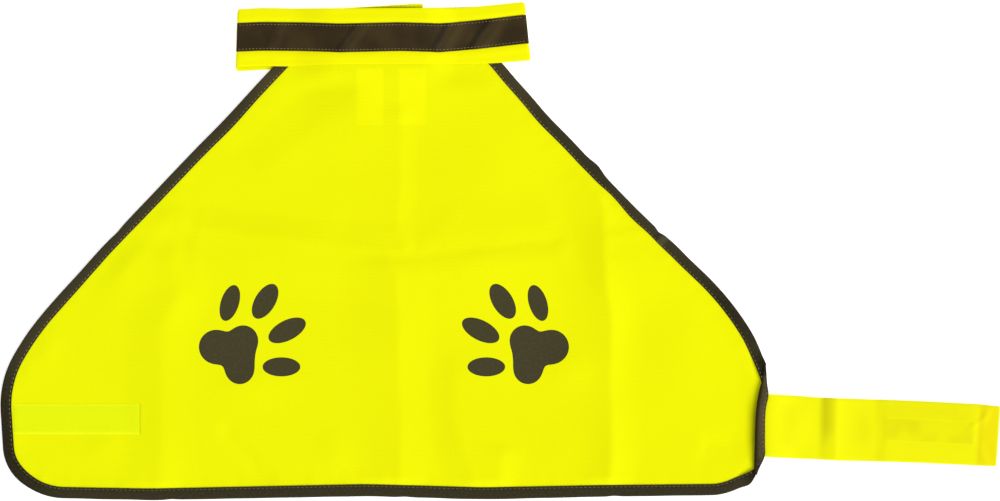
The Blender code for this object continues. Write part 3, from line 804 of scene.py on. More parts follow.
def base_height(x, y, away, along):
    """Lift of the panel: over the binding's lower leg, and in a long slope up to the collar."""
    tucked = eased(COLLAR_FRONT, 2, x) - BAND / 2 - NECK_STACK
    swollen = eased(NECK_SWELLING, 1, x)
    amount = smooth((end_distance(along) - RISE_START) / RISE_RUN)
    at_edge = RISE * amount + tucked * neck_share(y)
    slope = smooth((y - NECK_SLOPE_FOOT) / (NECK_LIFT_TOP - NECK_SLOPE_FOOT))
    within = LOFT + (swollen - LOFT) * slope + (tucked - swollen) * neck_share(y)
    share = smooth((away - lower_leg(along) - LEG_MARGIN) / RISE_RUN)
    return at_edge + (within - at_edge) * share


def line_places(points, x, y):
    """Side distance (left above zero) and run along a line of points, and its length."""
    best = np.full(x.shape, np.inf)
    side, run = np.zeros_like(x), np.zeros_like(x)
    start = 0.0
    last = len(points) - 2
    for k, (a, b) in enumerate(zip(points, points[1:])):
        length = math.hypot(b[0] - a[0], b[1] - a[1])
        ux, uy = (b[0] - a[0]) / length, (b[1] - a[1]) / length
        free = (x - a[0]) * ux + (y - a[1]) * uy
        held = np.clip(free, -np.inf if k == 0 else 0.0, np.inf if k == last else length)
        gap = np.hypot(x - a[0] - ux * held, y - a[1] - uy * held)
        left = (y - a[1]) * ux - (x - a[0]) * uy
        nearer = gap < best
        best = np.where(nearer, gap, best)
        side = np.where(nearer, np.copysign(gap, left), side)
        run = np.where(nearer, start + held, run)
        start += length
    return side, run, start


def crease_height(x, y, away):
    """Creases left by packing and soft swellings, fading near the binding."""
    total = np.zeros_like(x)
    shown = smooth((away - CREASE_EDGE_START) / CREASE_EDGE_RUN)
    for seed, (_, points, height, to_left, to_right, power, rounding, fade) in enumerate(CREASES):
        side, run, length = line_places(points, x, y)
        side = side + sum(size * np.sin(run / pace + turn * seed) for size, pace, turn in CREASE_WAVER)
        past = np.maximum(np.maximum(-run, run - length), 0.0)
        uneven = 1.0 - CREASE_UNEVEN * (1.0 - np.sin(run / CREASE_UNEVEN_PACE + 3.0 * seed))
        width = np.where(side > 0.0, to_left, to_right)
        slope = np.maximum(1.0 - (np.hypot(side, rounding) - rounding) / width, 0.0) ** power
        total += height * uneven * smooth(1.0 - past / fade) * slope * shown
    shown = smooth((away - CREASE_EDGE_START) / SWELLING_EDGE_RUN)
    for centre_x, centre_y, half_x, half_y, rise in SWELLINGS:
        total += rise * bell(x - centre_x, half_x) * bell(y - centre_y, half_y) * shown
    return total


def panel_middle(x, y):
    """Height of the panel's middle surface over the table."""
    x, y = np.broadcast_arrays(np.asarray(x, dtype=float), np.asarray(y, dtype=float))
    return panel_middle_at(x, y, *EDGE.foot(x, y))


def panel_middle_at(x, y, away, along):
    free = smooth((LEVEL_LEFT[0] - x) / LEVEL_LEFT[1])
    free = free + smooth((y - LEVEL_HIGH[0]) / LEVEL_HIGH[1]) + smooth((LEVEL_LOW[0] - y) / LEVEL_LOW[1])
    loose = (1.0 - neck_share(y)) * np.clip(free, 0.0, 1.0)
    swell = SWELL * (0.5 + 0.5 * ripple(x, y, SWELL_LENGTH, 2)) * smooth((away - SWELL_START) / SWELL_RUN)
    near = np.exp(-np.maximum(away - BINDING_WIDTH, 0.0) / PUCKER_REACH)
    near = near * smooth((away - STITCH_INSET) / PUCKER_RUN)
    pucker = near * sum(height * np.sin(along / pace + turn) for height, pace, turn in PUCKERS)
    shape = base_height(x, y, away, along)
    return np.maximum(shape + loose * (crease_height(x, y, away) + swell + pucker), 0.0) + CLOTH / 2


# ---------------------------------------------------------------- cloth meshes

def add_object(name, data):
    made = bpy.data.objects.new(name, data)
    bpy.context.scene.collection.objects.link(made)
    return made


def set_inputs(node, values):
    for name, value in values.items():
        node.inputs[name].default_value = value


def smooth_mesh(name, vertices, faces, materials):
    mesh = bpy.data.meshes.new(name)
    mesh.from_pydata(vertices, [], faces)
    for material in materials:
        mesh.materials.append(material)
    mesh.polygons.foreach_set("use_smooth", [True] * len(mesh.polygons))
    return mesh


def cloth_piece(name, nodes, points, normals, faces, wall, materials, uv, marks=None):
    """Thin closed shell round a middle surface, in place of its CAD nodes."""
    count = len(points)
    both = np.vstack([points + normals * wall / 2, points - normals * wall / 2])
    shell = faces + [tuple(v + count for v in reversed(f)) for f in faces]
    edges = {(f[k], f[(k + 1) % len(f)]) for f in faces for k in range(len(f))}
    rim = [(b, a, a + count, b + count) for a, b in sorted(edges) if (b, a) not in edges]
    mesh = smooth_mesh(name, (both * MM).tolist(), shell + rim, materials)
    if marks:
        mesh.polygons.foreach_set("material_index", marks + [0] * (len(faces) + len(rim)))
    corners = np.empty(len(mesh.loops), dtype=np.int32)
    mesh.loops.foreach_get("vertex_index", corners)
    mesh.uv_layers.new(name="cut").data.foreach_set("uv", uv[corners % count].ravel())
    mesh.update()
    mesh.set_sharp_from_angle(angle=math.radians(SHARP_DEGREES))
    piece = add_object(name, mesh)
    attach(piece, "root")
    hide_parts(*nodes)
    return piece


def grid_normals(grid):
    normals = np.cross(np.gradient(grid, axis=0), np.gradient(grid, axis=1))
    return normals / np.linalg.norm(normals, axis=2)[:, :, None]


def grid_faces(rows, columns):
    return [
        (i * columns + j, (i + 1) * columns + j, (i + 1) * columns + j + 1, i * columns + j + 1)
        for i in range(rows - 1)
        for j in range(columns - 1)
    ]


def grid_piece(name, node, grid, wall, material, start=0.0):
    """Shell through a grid; its cut's places run along the rows and across the columns."""
    rows, columns = grid.shape[:2]
    along = np.linalg.norm(np.diff(grid[:, columns // 2], axis=0), axis=1)
    across = np.linalg.norm(np.diff(grid[rows // 2], axis=0), axis=1)
    u = start + np.concatenate([[0.0], np.cumsum(along)])
    v = np.concatenate([[0.0], np.cumsum(across)])
    uv = np.stack(np.meshgrid(u, v, indexing="ij"), axis=2).reshape(-1, 2) * MM
    normals = grid_normals(grid).reshape(-1, 3)
    faces = grid_faces(rows, columns)
    return cloth_piece(name, [node], grid.reshape(-1, 3), normals, faces, wall, [material], uv)


def inside(x, y, polygon):
    result = np.zeros(len(x), dtype=bool)
    for (x0, y0), (x1, y1) in zip(polygon, np.roll(polygon, -1, axis=0)):
        if y0 == y1:
            continue
        crosses = (y0 > y) != (y1 > y)
        result ^= crosses & (x < x0 + (y - y0) * (x1 - x0) / (y1 - y0))
    return result


def clearance(x, y, polygon):
    """Distance of each point from a closed line."""
    return nearest(x, y, polygon, np.roll(polygon, -1, axis=0) - polygon)[0]


# ---------------------------------------------------------------- paw prints

def toe_outline(centre_x, centre_y, width, length, lean):
    angles = FULL_TURN * np.arange(OUTLINE_POINTS) / OUTLINE_POINTS
    across, up = 0.5 * width * np.cos(angles), 0.5 * length * np.sin(angles)
    c, s = math.cos(math.radians(lean)), math.sin(math.radians(lean))
    return np.column_stack([centre_x + across * c + up * s, centre_y - across * s + up * c])


def pad_depth(x, y):
    """Above zero inside the pad: its lobes run into each other softly."""
    total = 0.0
    for centre_x, centre_y, radius in PAD_LOBES:
        total = total + np.exp((radius - np.hypot(x - centre_x, y - centre_y)) / PAD_JOIN)
    return PAD_JOIN * np.log(total)


def pad_outline():
    centre = np.mean([lobe[:2] for lobe in PAD_LOBES], axis=0)
    outline = []
    for k in range(2 * OUTLINE_POINTS):
        angle = FULL_TURN * k / (2 * OUTLINE_POINTS)
        way = np.array([math.cos(angle), math.sin(angle)])
        near, far = 0.0, PAD_REACH
        for _ in range(HALVINGS):
            middle = 0.5 * (near + far)
            if pad_depth(*(centre + way * middle)) > 0.0:
                near = middle
            else:
                far = middle
        outline.append(centre + way * near)
    return np.array(outline)


def paw_outlines():
    left = [toe_outline(*toe) for toe in TOES] + [pad_outline()]
    right = [np.column_stack([2 * PAW_MIRROR_X - o[:, 0], o[:, 1]]) for o in left]
    return left + right


# ---------------------------------------------------------------- panel

def stations(start, end, step):
    return np.linspace(start, end, max(2, round((end - start) / step)) + 1)


def panel_boundary():
    low, high = STRETCHES["left"][1], STRETCHES["right"][0]
    left_s = stations(0.0, low, EDGE_STEP)
    right_s = stations(high, EDGE.end, EDGE_STEP)
    left = np.column_stack(EDGE.at(left_s, panel_inset(left_s)))
    right = np.column_stack(EDGE.at(right_s, panel_inset(right_s)))
    fold_y = stations(TAB_LOW, TAB_HIGH, EDGE_STEP)
    fold = np.column_stack([np.full(len(fold_y), FOLD_X), fold_y])
    joins = []
    for a, b in ((left[-1], fold[0]), (fold[-1], right[0]), (right[-1], left[0])):
        count = max(2, round(float(np.linalg.norm(b - a)) / EDGE_STEP))
        joins.append(a + (b - a) * (np.arange(1, count) / count)[:, None])
    polygon = np.vstack([left, joins[0], fold, joins[1], right, joins[2]])
    return polygon, len(left) + len(joins[0]), fold_y


def make_panel(cloth, ink):
    polygon, fold_from, fold_y = panel_boundary()
    flat, faces, printed, found = triangulated(polygon, paw_outlines())
    points = np.column_stack([flat, panel_middle(flat[:, 0], flat[:, 1])])
    half = 0.5 * CREASE_SAMPLE
    slope_x = panel_middle(flat[:, 0] + half, flat[:, 1]) - panel_middle(flat[:, 0] - half, flat[:, 1])
    slope_y = panel_middle(flat[:, 0], flat[:, 1] + half) - panel_middle(flat[:, 0], flat[:, 1] - half)
    normals = np.column_stack([-slope_x, -slope_y, np.full(len(flat), CREASE_SAMPLE)])
    normals /= np.linalg.norm(normals, axis=1)[:, None]
    marks = printed.astype(int).tolist()
    previous = [found[fold_from + k] for k in range(len(fold_y))]
    rest = float(panel_middle(FOLD_X, 0.5 * (TAB_HIGH + TAB_LOW)))
    for x, z, normal in tab_columns(fold_y, rest):
        current = list(range(len(points), len(points) + len(fold_y)))
        points = np.vstack([points, np.column_stack([x, fold_y, z])])
        normals = np.vstack([normals, np.tile(normal, (len(fold_y), 1))])
        for k in range(len(fold_y) - 1):
            faces.append((previous[k], current[k], current[k + 1]))
            faces.append((previous[k], current[k + 1], previous[k + 1]))
            marks += [0, 0]
        previous = current
    uv = points[:, :2] * MM
    piece = cloth_piece("vest_panel", ["back_panel"], points, normals, faces, CLOTH, [cloth, ink],
                        uv, marks)
    low, high = polygon.min(axis=0), polygon.max(axis=0)
    following = np.roll(polygon, -1, axis=0)
    area = 0.5 * abs(float((polygon[:, 0] * following[:, 1] - polygon[:, 1] * following[:, 0]).sum()))
    return piece, (high - low) * MM, area * MM * MM


def triangulated(polygon, paws):
    """Even triangles inside the outline, with the printed shapes' edges among them."""
    low, high = polygon.min(axis=0), polygon.max(axis=0)
    rows = np.arange(low[1], high[1], PANEL_STEP * ROW_SHARE)
    x, y = np.meshgrid(np.arange(low[0], high[0], PANEL_STEP), rows)
    x = (x + 0.5 * PANEL_STEP * (np.arange(len(rows)) % 2)[:, None]).ravel()
    y = y.ravel()
    keep = inside(x, y, polygon)
    x, y = x[keep], y[keep]
    keep = clearance(x, y, polygon) > CLEAR_OF_EDGE * PANEL_STEP
    for outline in paws:
        keep &= clearance(x, y, outline) > CLEAR_OF_PRINT * PANEL_STEP
    edges, flat = [], []
    for loop in [polygon, *paws]:
        first = len(flat)
        edges += [(first + k, first + (k + 1) % len(loop)) for k in range(len(loop))]
        flat += loop.tolist()
    flat += np.column_stack([x[keep], y[keep]]).tolist()
    points = [Vector(p) for p in flat]
    placed, _, faces, sources, _, _ = delaunay_2d_cdt(points, edges, [], 1, SAME_POINT)
    found = {source: k for k, group in enumerate(sources) for source in group}
    flat = np.array([tuple(p) for p in placed])
    tri = np.array(faces)
    ahead, aside = flat[tri[:, 1]] - flat[tri[:, 0]], flat[tri[:, 2]] - flat[tri[:, 0]]
    clockwise = ahead[:, 0] * aside[:, 1] - ahead[:, 1] * aside[:, 0] < 0.0
    tri[clockwise] = tri[clockwise][:, ::-1]
    centres = flat[tri].mean(axis=1)
    printed = np.zeros(len(tri), dtype=bool)
    for outline in paws:
        printed |= inside(centres[:, 0], centres[:, 1], outline)
    return flat, [tuple(f) for f in tri.tolist()], printed, found


def tab_columns(fold_y, rest):
    """The panel's turned edge beyond its fold: x, z and normal of each column."""
    columns = []
    for k in range(1, HAIRPIN_STEPS + 1):
        angle = math.pi * k / HAIRPIN_STEPS
        x = np.full(len(fold_y), FOLD_X + FOLD_RADIUS * math.sin(angle))
        z = np.full(len(fold_y), rest + FOLD_RADIUS * (1.0 - math.cos(angle)))
        columns.append((x, z, (-math.sin(angle), 0.0, math.cos(angle))))
    reach = straight([(row[0], row[1]) for row in TURNED_ROWS], 1, fold_y) + FLAP_CLEAR
    top = np.full(len(fold_y), rest + 2.0 * FOLD_RADIUS)
    for share in FLAP_SHARES:
        columns.append((FOLD_X + (reach - FOLD_X) * share, top, (0.0, 0.0, -1.0)))
    return columns


# ---------------------------------------------------------------- bindings

def edge_bumps(rows, along):
    """Sums of a table's bumps at places along the edge: each row's amounts fall off to both sides."""
    total = 0.0
    for x, y, *amounts, half in rows:
        total = total + np.multiply.outer(amounts, bell(along - float(EDGE.foot(x, y)[1]), half))
    return total


def binding_spot(along, inset, stretch):
    """Place of the binding along and in from the edge, its lift at the crossing and its pinch."""
    start, end = STRETCHES[stretch]
    neck, last, way = (start, end, -1.0) if stretch == "left" else (end, start, 1.0)
    from_tip = np.abs(along - last)
    shift = way * NECK_SHIFT * smooth(1.0 - np.abs(along - neck) / (3 * BINDING_WIDTH))
    share = inset / BINDING_WIDTH
    pinch = edge_bumps(KINKS, along)[0]
    waver = EDGE_WAVER * ripple(along, 0.0 * along, EDGE_WAVER_LENGTH, 5)
    outer, stitched = edge_bumps(EDGE_SHIFTS, along)
    drawn_in = (pinch + waver + outer) * (1.0 - share) + stitched * share
    x, y = EDGE.at(along + shift * share, inset + drawn_in)
    swing = (np.array(CROSSINGS[stretch][1]) - np.array(EDGE.at(last, BINDING_WIDTH))) * share[..., None]
    turn = smooth(1.0 - from_tip / TIP_REACH[stretch])
    x, y = x + swing[..., 0] * turn, y + swing[..., 1] * turn
    lift = TIP_LIFT * smooth(1.0 - from_tip / TIP_RUN) - TIP_ROLL * smooth(1.0 - from_tip / TIP_ROLL_RUN) ** 2
    return x, y, lift, pinch


def puff(along, inset, width, stitch_inset):
    """Swelling of a stitched fold: full between fold and stitches, pulled in along them."""
    body = np.sin(math.pi * np.clip(inset / stitch_inset, 0.0, 1.0)) ** PUFF_POWER
    uneven = 1.0 + PUFF_UNEVEN * ripple(along, inset, PUFF_UNEVEN_LENGTH, 1)
    pull = 1.0 + STITCH_PULL * np.cos(FULL_TURN * along / STITCH_PITCH)
    groove = bell(inset - stitch_inset, GROOVE_HALF)
    free = smooth((inset - stitch_inset - FREE_EDGE_START) / (width - stitch_inset))
    return PUFF_HEIGHT * body * uneven - GROOVE_DEPTH * groove * pull + FREE_EDGE_LIFT * free


def upper_leg_height(x, y, along, inset, lift, pinch):
    shape = puff(along, inset, BINDING_WIDTH, STITCH_INSET)
    return panel_middle(x, y) + CLOTH + TOUCH + shape + lift - PINCH_DIP * pinch


def bend(low, high, last_degrees):
    """Heights round a fold, from its lower leg up, and how far in they are in shares of its depth."""
    angle = np.radians(np.linspace(-90.0, last_degrees, BEND_ROWS))[None, :]
    return 0.5 * (high + low) + 0.5 * (high - low) * np.sin(angle), 1.0 - np.cos(angle)


def make_binding(name, node, stretch, cloth):
    """Upper leg on the panel, the fold round its edge, and a lower leg under it."""
    along = stations(*STRETCHES[stretch], BINDING_STEP)[:, None]
    upper = np.array(UPPER_INSETS)[None, :]
    low = CLOTH / 2 + NECK_FLOOR * neck_share(EDGE.at(along, 0.0)[1])
    x, y, lift, pinch = binding_spot(*np.broadcast_arrays(along, upper), stretch)
    z = upper_leg_height(x, y, along, upper, lift, pinch)
    bend_z, depth = bend(low, np.maximum(z[:, :1], low + BEND_LEAST), 90.0)
    inset = BEND_REACH * depth + CLOTH / 2
    bend_x, bend_y = binding_spot(*np.broadcast_arrays(along, inset), stretch)[:2]
    leg = np.maximum(lower_leg(along), BEND_REACH + CLOTH)
    under = leg + (BEND_REACH + CLOTH - leg) * np.array([[0.0, 0.5]])
    under_x, under_y = binding_spot(*np.broadcast_arrays(along, under), stretch)[:2]
    grid = np.stack([
        np.hstack([under_x, bend_x, x]),
        np.hstack([under_y, bend_y, y]),
        np.hstack([low + 0.0 * under, bend_z, z]),
    ], axis=2)
    return grid_piece(name, node, grid, CLOTH, cloth)


def turned_surface(y, share):
    """Point of the turned binding's upper leg, share of the way from fold to stitched edge."""
    fold, stitched, top = (flowing(TURNED_ROWS, k, y) for k in (1, 2, 3))
    width = stitched - fold
    inset = CLOTH / 2 + (width - CLOTH / 2) * share
    lumps = puff(-y, inset, np.maximum(width, STITCH_INSET + 1.0), np.maximum(width - STITCH_MARGIN, 1.0))
    return fold + inset, top - CLOTH / 2 - TURNED_SINK + lumps * smooth(width / TURNED_FULL)


def make_turned_binding(cloth):
    y = stations(TURNED_ROWS[-1][0], TURNED_ROWS[0][0], BINDING_STEP)[::-1][:, None]
    x, z = turned_surface(*np.broadcast_arrays(y, TURNED_SHARES))
    fold, stitched = flowing(TURNED_ROWS, 1, y), flowing(TURNED_ROWS, 2, y)
    high = z[:, :1]
    low = np.minimum(TURNED_BASE + CLOTH / 2, high - TURNED_LEAST)
    reach = TURNED_SHARES[0, 0] * (stitched - fold) + CLOTH / 2
    bend_z, depth = bend(low, high, TURNED_BEND)
    bend_x = fold + CLOTH / 2 + (reach - CLOTH / 2) * depth
    leg = fold + np.maximum(reach + TURNED_LEG, np.minimum(stitched - fold - 1.0, FOLD_X - fold))
    grid = np.stack([
        np.hstack([leg, bend_x, x]),
        np.tile(y, 1 + bend_x.shape[1] + x.shape[1]),
        np.hstack([low, bend_z, z]),
    ], axis=2)
    return grid_piece("turned_binding", "binding_turned", grid, CLOTH, cloth)


# ---------------------------------------------------------------- collar and strap

def stretch_path(rows, direction, step):
    xs = stations(min(r[0] for r in rows), max(r[0] for r in rows), step)[::direction]
    return np.column_stack([
        xs,
        flowing(rows, 1, xs),
        eased(rows, 2, xs),
        flowing(rows, 3, xs),
    ])


def hairpin(start, end, side):
    radius = abs(end[2] - start[2]) / 2
    rises = 1.0 if end[2] > start[2] else -1.0
    shares = np.arange(1, HAIRPIN_STEPS)[:, None] / HAIRPIN_STEPS
    path = start + (end - start) * shares
    angle = math.pi * shares[:, 0]
    path[:, 0] = start[0] + side * radius * np.sin(angle)
    path[:, 2] = start[2] + rises * radius * (1.0 - np.cos(angle))
    return path


def collar_path():
    back_left = stretch_path(COLLAR_BACK_LEFT, -1, 2 * BAND_STEP)
    front = stretch_path(COLLAR_FRONT, 1, BAND_STEP)
    back_right = stretch_path(COLLAR_BACK_RIGHT, -1, 2 * BAND_STEP)
    left_turn = hairpin(back_left[-1], front[0], -1)
    right_turn = hairpin(front[-1], back_right[0], 1)
    first = len(back_left) + len(left_turn)
    face = (first - HAIRPIN_STEPS // 2, first + len(front) + HAIRPIN_STEPS // 2)
    return np.vstack([back_left, left_turn, front, right_turn, back_right]), face


def band_relief(x, y):
    """Soft troughs across the collar's tape and swellings of the cloth beside it."""
    centre = flowing(TAPE_CENTRE, 1, x)
    uneven, pace, fade = BAND_TROUGHS
    total = np.zeros_like(x)
    for place, lean, depth, half in COLLAR_CREASES:
        side = x - place - lean * (y - centre)
        total -= depth * bell(side, half) * (1.0 + uneven * np.sin(y / pace + place))
    beside = np.abs(y - centre) - TAPE_HALF
    place, half, rise, uneven, length = BAND_SWELL
    swell = bell(beside - place, half) * (rise + uneven * ripple(x, y, length, 4))
    pulled = bell(beside, BAND_GROOVE[0]) * BAND_GROOVE[1]
    waves = BAND_WAVE * ripple(x, y, BAND_WAVE_LENGTH, 7)
    return total * smooth((BAND_MARGIN - beside) / fade) + swell - pulled + waves


def collar_half(x):
    """Half the collar's width: it is drawn in a little at its middle."""
    beyond = COLLAR_WAIST_REACH - np.abs(x - LABEL_MIDDLE)
    return COLLAR_HALF - COLLAR_WAIST * smooth(beyond / COLLAR_WAIST_RUN)


def band_shares():
    """Places across a band from -1 to 1, closer together towards its edges."""
    even = np.linspace(-1.0, 1.0, BAND_COLUMNS)
    return np.sin(0.5 * math.pi * even) * EDGE_WEIGHT + even * (1.0 - EDGE_WEIGHT)


def edge_roll(shares, half):
    """How far a band's face rolls down at its long edges."""
    return EDGE_ROLL * smooth((np.abs(shares) * half - half + EDGE_ROLL_RUN) / EDGE_ROLL_RUN)[None, :] ** 2


def band_points(path, shares, half, centre_of, lift, face):
    """Grid across a path; only the rows of its face have relief."""
    xz = path[:, [0, 2]]
    ahead = np.gradient(xz, axis=0)
    ahead /= np.linalg.norm(ahead, axis=1)[:, None]
    centre = centre_of(path[:, 0])[:, None]
    across = half * shares[None, :]
    y = centre + across
    x = path[:, :1] + path[:, 3:4] * (y - path[:, 1:2])
    rows = np.arange(len(path))
    facing = smooth((rows - face[0] - 2) / FACE_RUN) * smooth((face[1] - 3 - rows) / FACE_RUN)
    covered = smooth((TAPE_HALF + TAPE_SINK_RUN - np.abs(y - flowing(TAPE_CENTRE, 1, x))) / TAPE_SINK_RUN)
    corner = smooth((np.abs(y - centre) - COLLAR_HALF + TAPE_SINK_RUN) / TAPE_SINK_RUN) ** 2
    pressed = TAPE_SINK * covered + CORNER_ROUND * corner
    rise = lift + band_relief(x, y) * facing[:, None] - pressed * ahead[:, 1:2] ** 2
    x = x - ahead[:, 1:2] * rise
    return np.stack([x, y + np.zeros_like(x), path[:, 2:3] + ahead[:, 0:1] * rise], axis=2)


def make_collar(band, tape):
    path, face = collar_path()
    shares = band_shares()
    grid = band_points(path, shares, collar_half(path[:, :1]), lambda x: path[:, 1], 0.0, face)
    row = np.arange(len(grid))[:, None]
    facing = smooth((row - face[0]) / ROLL_ROWS) * smooth((face[1] - row) / ROLL_ROWS)
    grid[:, :, 2] -= facing * edge_roll(shares, COLLAR_HALF)
    back = grid[:face[0] - HAIRPIN_STEPS]
    back[:, :, 2] += PEEP_RISE * smooth((back[:, :, 1] - PEEP_FOOT) / PEEP_RUN)
    collar = grid_piece("collar", "collar_band", grid, BAND, band)
    lift = BAND / 2 + TOUCH + CLOTH / 2
    front = path[face[0]:face[1] + 1]
    shares = np.linspace(-1.0, 1.0, TAPE_COLUMNS)
    ends = (0, len(front))
    rows = band_points(front, shares, TAPE_HALF, lambda x: flowing(TAPE_CENTRE, 1, x), lift, ends)
    strip = grid_piece("reflective_strip", "collar_tape", rows, CLOTH, tape)
    return collar, grid, strip, rows


def strap_relief(x, across):
    """Soft swellings, the one crease, and what the sewn patch and hem do to the strap's face."""
    total = BAND_WAVE * ripple(x, across, STRAP_WAVE_LENGTH, 9)
    for centre_x, centre_y, half_x, half_y, rise in STRAP_BANDS:
        total = total + rise * bell(x - centre_x, half_x) * bell(across - centre_y, half_y)
    foot, crest, rise, reach, lean = STRAP_CREASE
    place = x - lean * across
    climbed = np.clip((place - foot) / (crest - foot), 0.0, 1.0)
    climb = 0.5 * (smooth(climbed) + climbed)
    total = total + rise * climb * np.exp(-np.maximum(place - crest, 0.0) / reach)
    near, far = STRAP_HOOK_X
    beside = np.maximum(np.maximum(near - x, x - far), np.abs(across - STRAP_HOOK_SHIFT) - STRAP_HOOK_HALF)
    total = total + PATCH_SWELL * smooth(1.0 - beside / PATCH_SWELL_RUN)
    total = total - PATCH_GROOVE[1] * bell(beside + PATCH_STITCH_INSET, PATCH_GROOVE[0])
    hem = x - (STRAP_ROWS[-1][0] - HEM_LENGTH)
    total = total + HEM_SWELL * smooth(hem / 3.0)
    total = total - HEM_GROOVE[1] * bell(hem - HEM_STITCH_INSET, HEM_GROOVE[0])
    for place, side, lean, height in HEM_PUCKERS:
        off = (x - place) - lean * (across - side)
        total = total + height * bell(off, HEM_PUCKER_HALF) * bell(across - side, HEM_PUCKER_REACH)
    return total


def strap_spot(x, across):
    """Point of the strap's upper middle surface, across in millimetres from its centre."""
    slant = STRAP_ROOT_SLANT * smooth((STRAP_ROWS[2][0] - x) / STRAP_ROOT_RUN)
    slant = slant + STRAP_END_SLANT * smooth((x - STRAP_HOOK_X[0]) / STRAP_END_RUN)
    z = eased(STRAP_ROWS, 3, x) + BAND / 2 + strap_relief(x, across)
    width = 1.0 + STRAP_WAVER * ripple(x, 0.0 * x, STRAP_WAVER_LENGTH, 3)
    return x + slant * across, flowing(STRAP_ROWS, 1, x) + across * width, z


def make_strap(band):
    xs = stations(STRAP_ROWS[0][0], STRAP_ROWS[-1][0], BAND_STEP)[:, None]
    shares = band_shares()
    across = flowing(STRAP_ROWS, 2, xs) * shares[None, :]
    x, y, z = strap_spot(xs + 0.0 * across, across)
    z = z - edge_roll(shares, STRAP_ROWS[0][2]) * smooth((xs - STRAP_ROWS[1][0]) / STRAP_ROLL_RUN)
    z = np.maximum(z, BAND / 2)
    face = np.stack([x, y, z], axis=2)
    angle = math.pi * np.arange(1, HAIRPIN_STEPS + 1)[:, None] / HAIRPIN_STEPS
    low = STRAP_ROWS[-1][3] + BAND / 2 - 2 * HEM_RADIUS
    radius = 0.5 * (z[-1][None, :] - low)
    bend = np.stack([
        x[-1][None, :] + radius * np.sin(angle),
        y[-1][None, :] + 0.0 * angle,
        low + radius * (1.0 + np.cos(angle)),
    ], axis=2)
    back = HEM_LENGTH * np.arange(1, HEM_ROWS + 1)[:, None] / HEM_ROWS
    tail = np.stack([
        x[-1][None, :] - back,
        y[-1][None, :] + HEM_SLANT * back,
        np.full((len(back), len(shares)), low),
    ], axis=2)
    grid = np.vstack([face, bend, tail])
    return grid_piece("strap", "belly_strap", grid, BAND, band, start=xs[0, 0]), grid


# ---------------------------------------------------------------- laid pieces

def laid_piece(name, node, frame_mm, offset, wall, material, edge_lift=0.0):
    """Cloth that lies on or under the panel, from the panel's own heights."""
    left, right, low, high = frame_mm
    xs = stations(left, right, LAID_STEP)[:, None]
    ys = stations(low, high, LAID_STEP)[None, :]
    x, y = xs + 0.0 * ys, ys + 0.0 * xs
    rim = np.minimum(np.minimum(x - left, right - x), np.minimum(y - low, high - y))
    groove = LAID_GROOVE * bell(rim - LAID_STITCH_INSET, LAID_GROOVE_HALF)
    shape = edge_lift * (smooth(rim / LAID_RIM_RUN) - groove)
    shape = shape - RIM_DIP * (rim < RIM_REACH) * (edge_lift > 0.0)
    grid = np.stack([x, y, panel_middle(x, y) + offset + shape], axis=2)
    return grid_piece(name, node, grid, wall, material)


def level_piece(name, node, frame_mm, centre_of, middle_z, wall, material):
    """Fastener tape that lies level under the cloth, its frame measured across from a centre line."""
    left, right, low, high = frame_mm
    xs = stations(left, right, LAID_STEP)[:, None]
    y = centre_of(xs) + low + (high - low) * np.linspace(0.0, 1.0, LEVEL_COLUMNS)[None, :]
    x = xs + 0.0 * y
    grid = np.stack([x, y, middle_z + FASTENER_WAVE * ripple(x, y, FASTENER_WAVE_LENGTH, 6)], axis=2)
    return grid_piece(name, node, grid, wall, material)


# ---------------------------------------------------------------- stitches

def stitch_mesh(lines):
    """Rounded threads along lines of points: each line gives points, normals, pitch and size.

    Some are pulled deeper into the cloth than others.
    """
    chance = np.random.default_rng(STITCH_SEED)
    ring_at, ring_size = np.array(STITCH_RINGS).T
    round_at = FULL_TURN * np.arange(THREAD_SIDES) / THREAD_SIDES
    vertices, faces = [], []
    for points, normals, pitch, length, radius in lines:
        steps = np.linalg.norm(np.diff(points, axis=0), axis=1)
        run = np.concatenate([[0.0], np.cumsum(steps)])
        count = int((run[-1] - length) / pitch)
        for k in range(count + 1):
            centre = 0.5 * length + k * pitch
            at = centre + 0.5 * length * ring_at
            spots = np.column_stack([np.interp(at, run, points[:, c]) for c in range(3)])
            up = np.array([np.interp(centre, run, normals[:, c]) for c in range(3)])
            up /= np.linalg.norm(up)
            spots = spots - up * radius * STITCH_SINK * chance.random()
            ahead = spots[-1] - spots[0]
            ahead /= np.linalg.norm(ahead)
            beside = np.cross(up, ahead)
            beside /= np.linalg.norm(beside)
            first = len(vertices)
            for spot, size, u in zip(spots, ring_size, ring_at):
                middle = spot + up * radius * (STITCH_RISE - STITCH_ARCH * u * u)
                for angle in round_at:
                    turned = up * math.sin(angle) + beside * math.cos(angle)
                    vertices.append(tuple((middle + turned * radius * size) * MM))
            for ring in range(len(ring_at) - 1):
                for j in range(THREAD_SIDES):
                    a = first + ring * THREAD_SIDES + j
                    b = first + ring * THREAD_SIDES + (j + 1) % THREAD_SIDES
                    faces.append((a, a + THREAD_SIDES, b + THREAD_SIDES, b))
            faces.append(tuple(first + j for j in range(THREAD_SIDES)))
            faces.append(tuple(len(vertices) - 1 - j for j in range(THREAD_SIDES)))
    return vertices, faces


def stitch_piece(name, lines, material):
    mesh = smooth_mesh(name, *stitch_mesh(lines), [material])
    mesh.update()
    piece = add_object(name, mesh)
    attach(piece, "root")
    return piece


def raised(line, wall):
    """A line on a middle surface moved up to the cloth's face, with its normals."""
    line = np.asarray(line, dtype=float)
    up = np.tile([0.0, 0.0, 1.0], (len(line), 1))
    return line + up * wall / 2, up


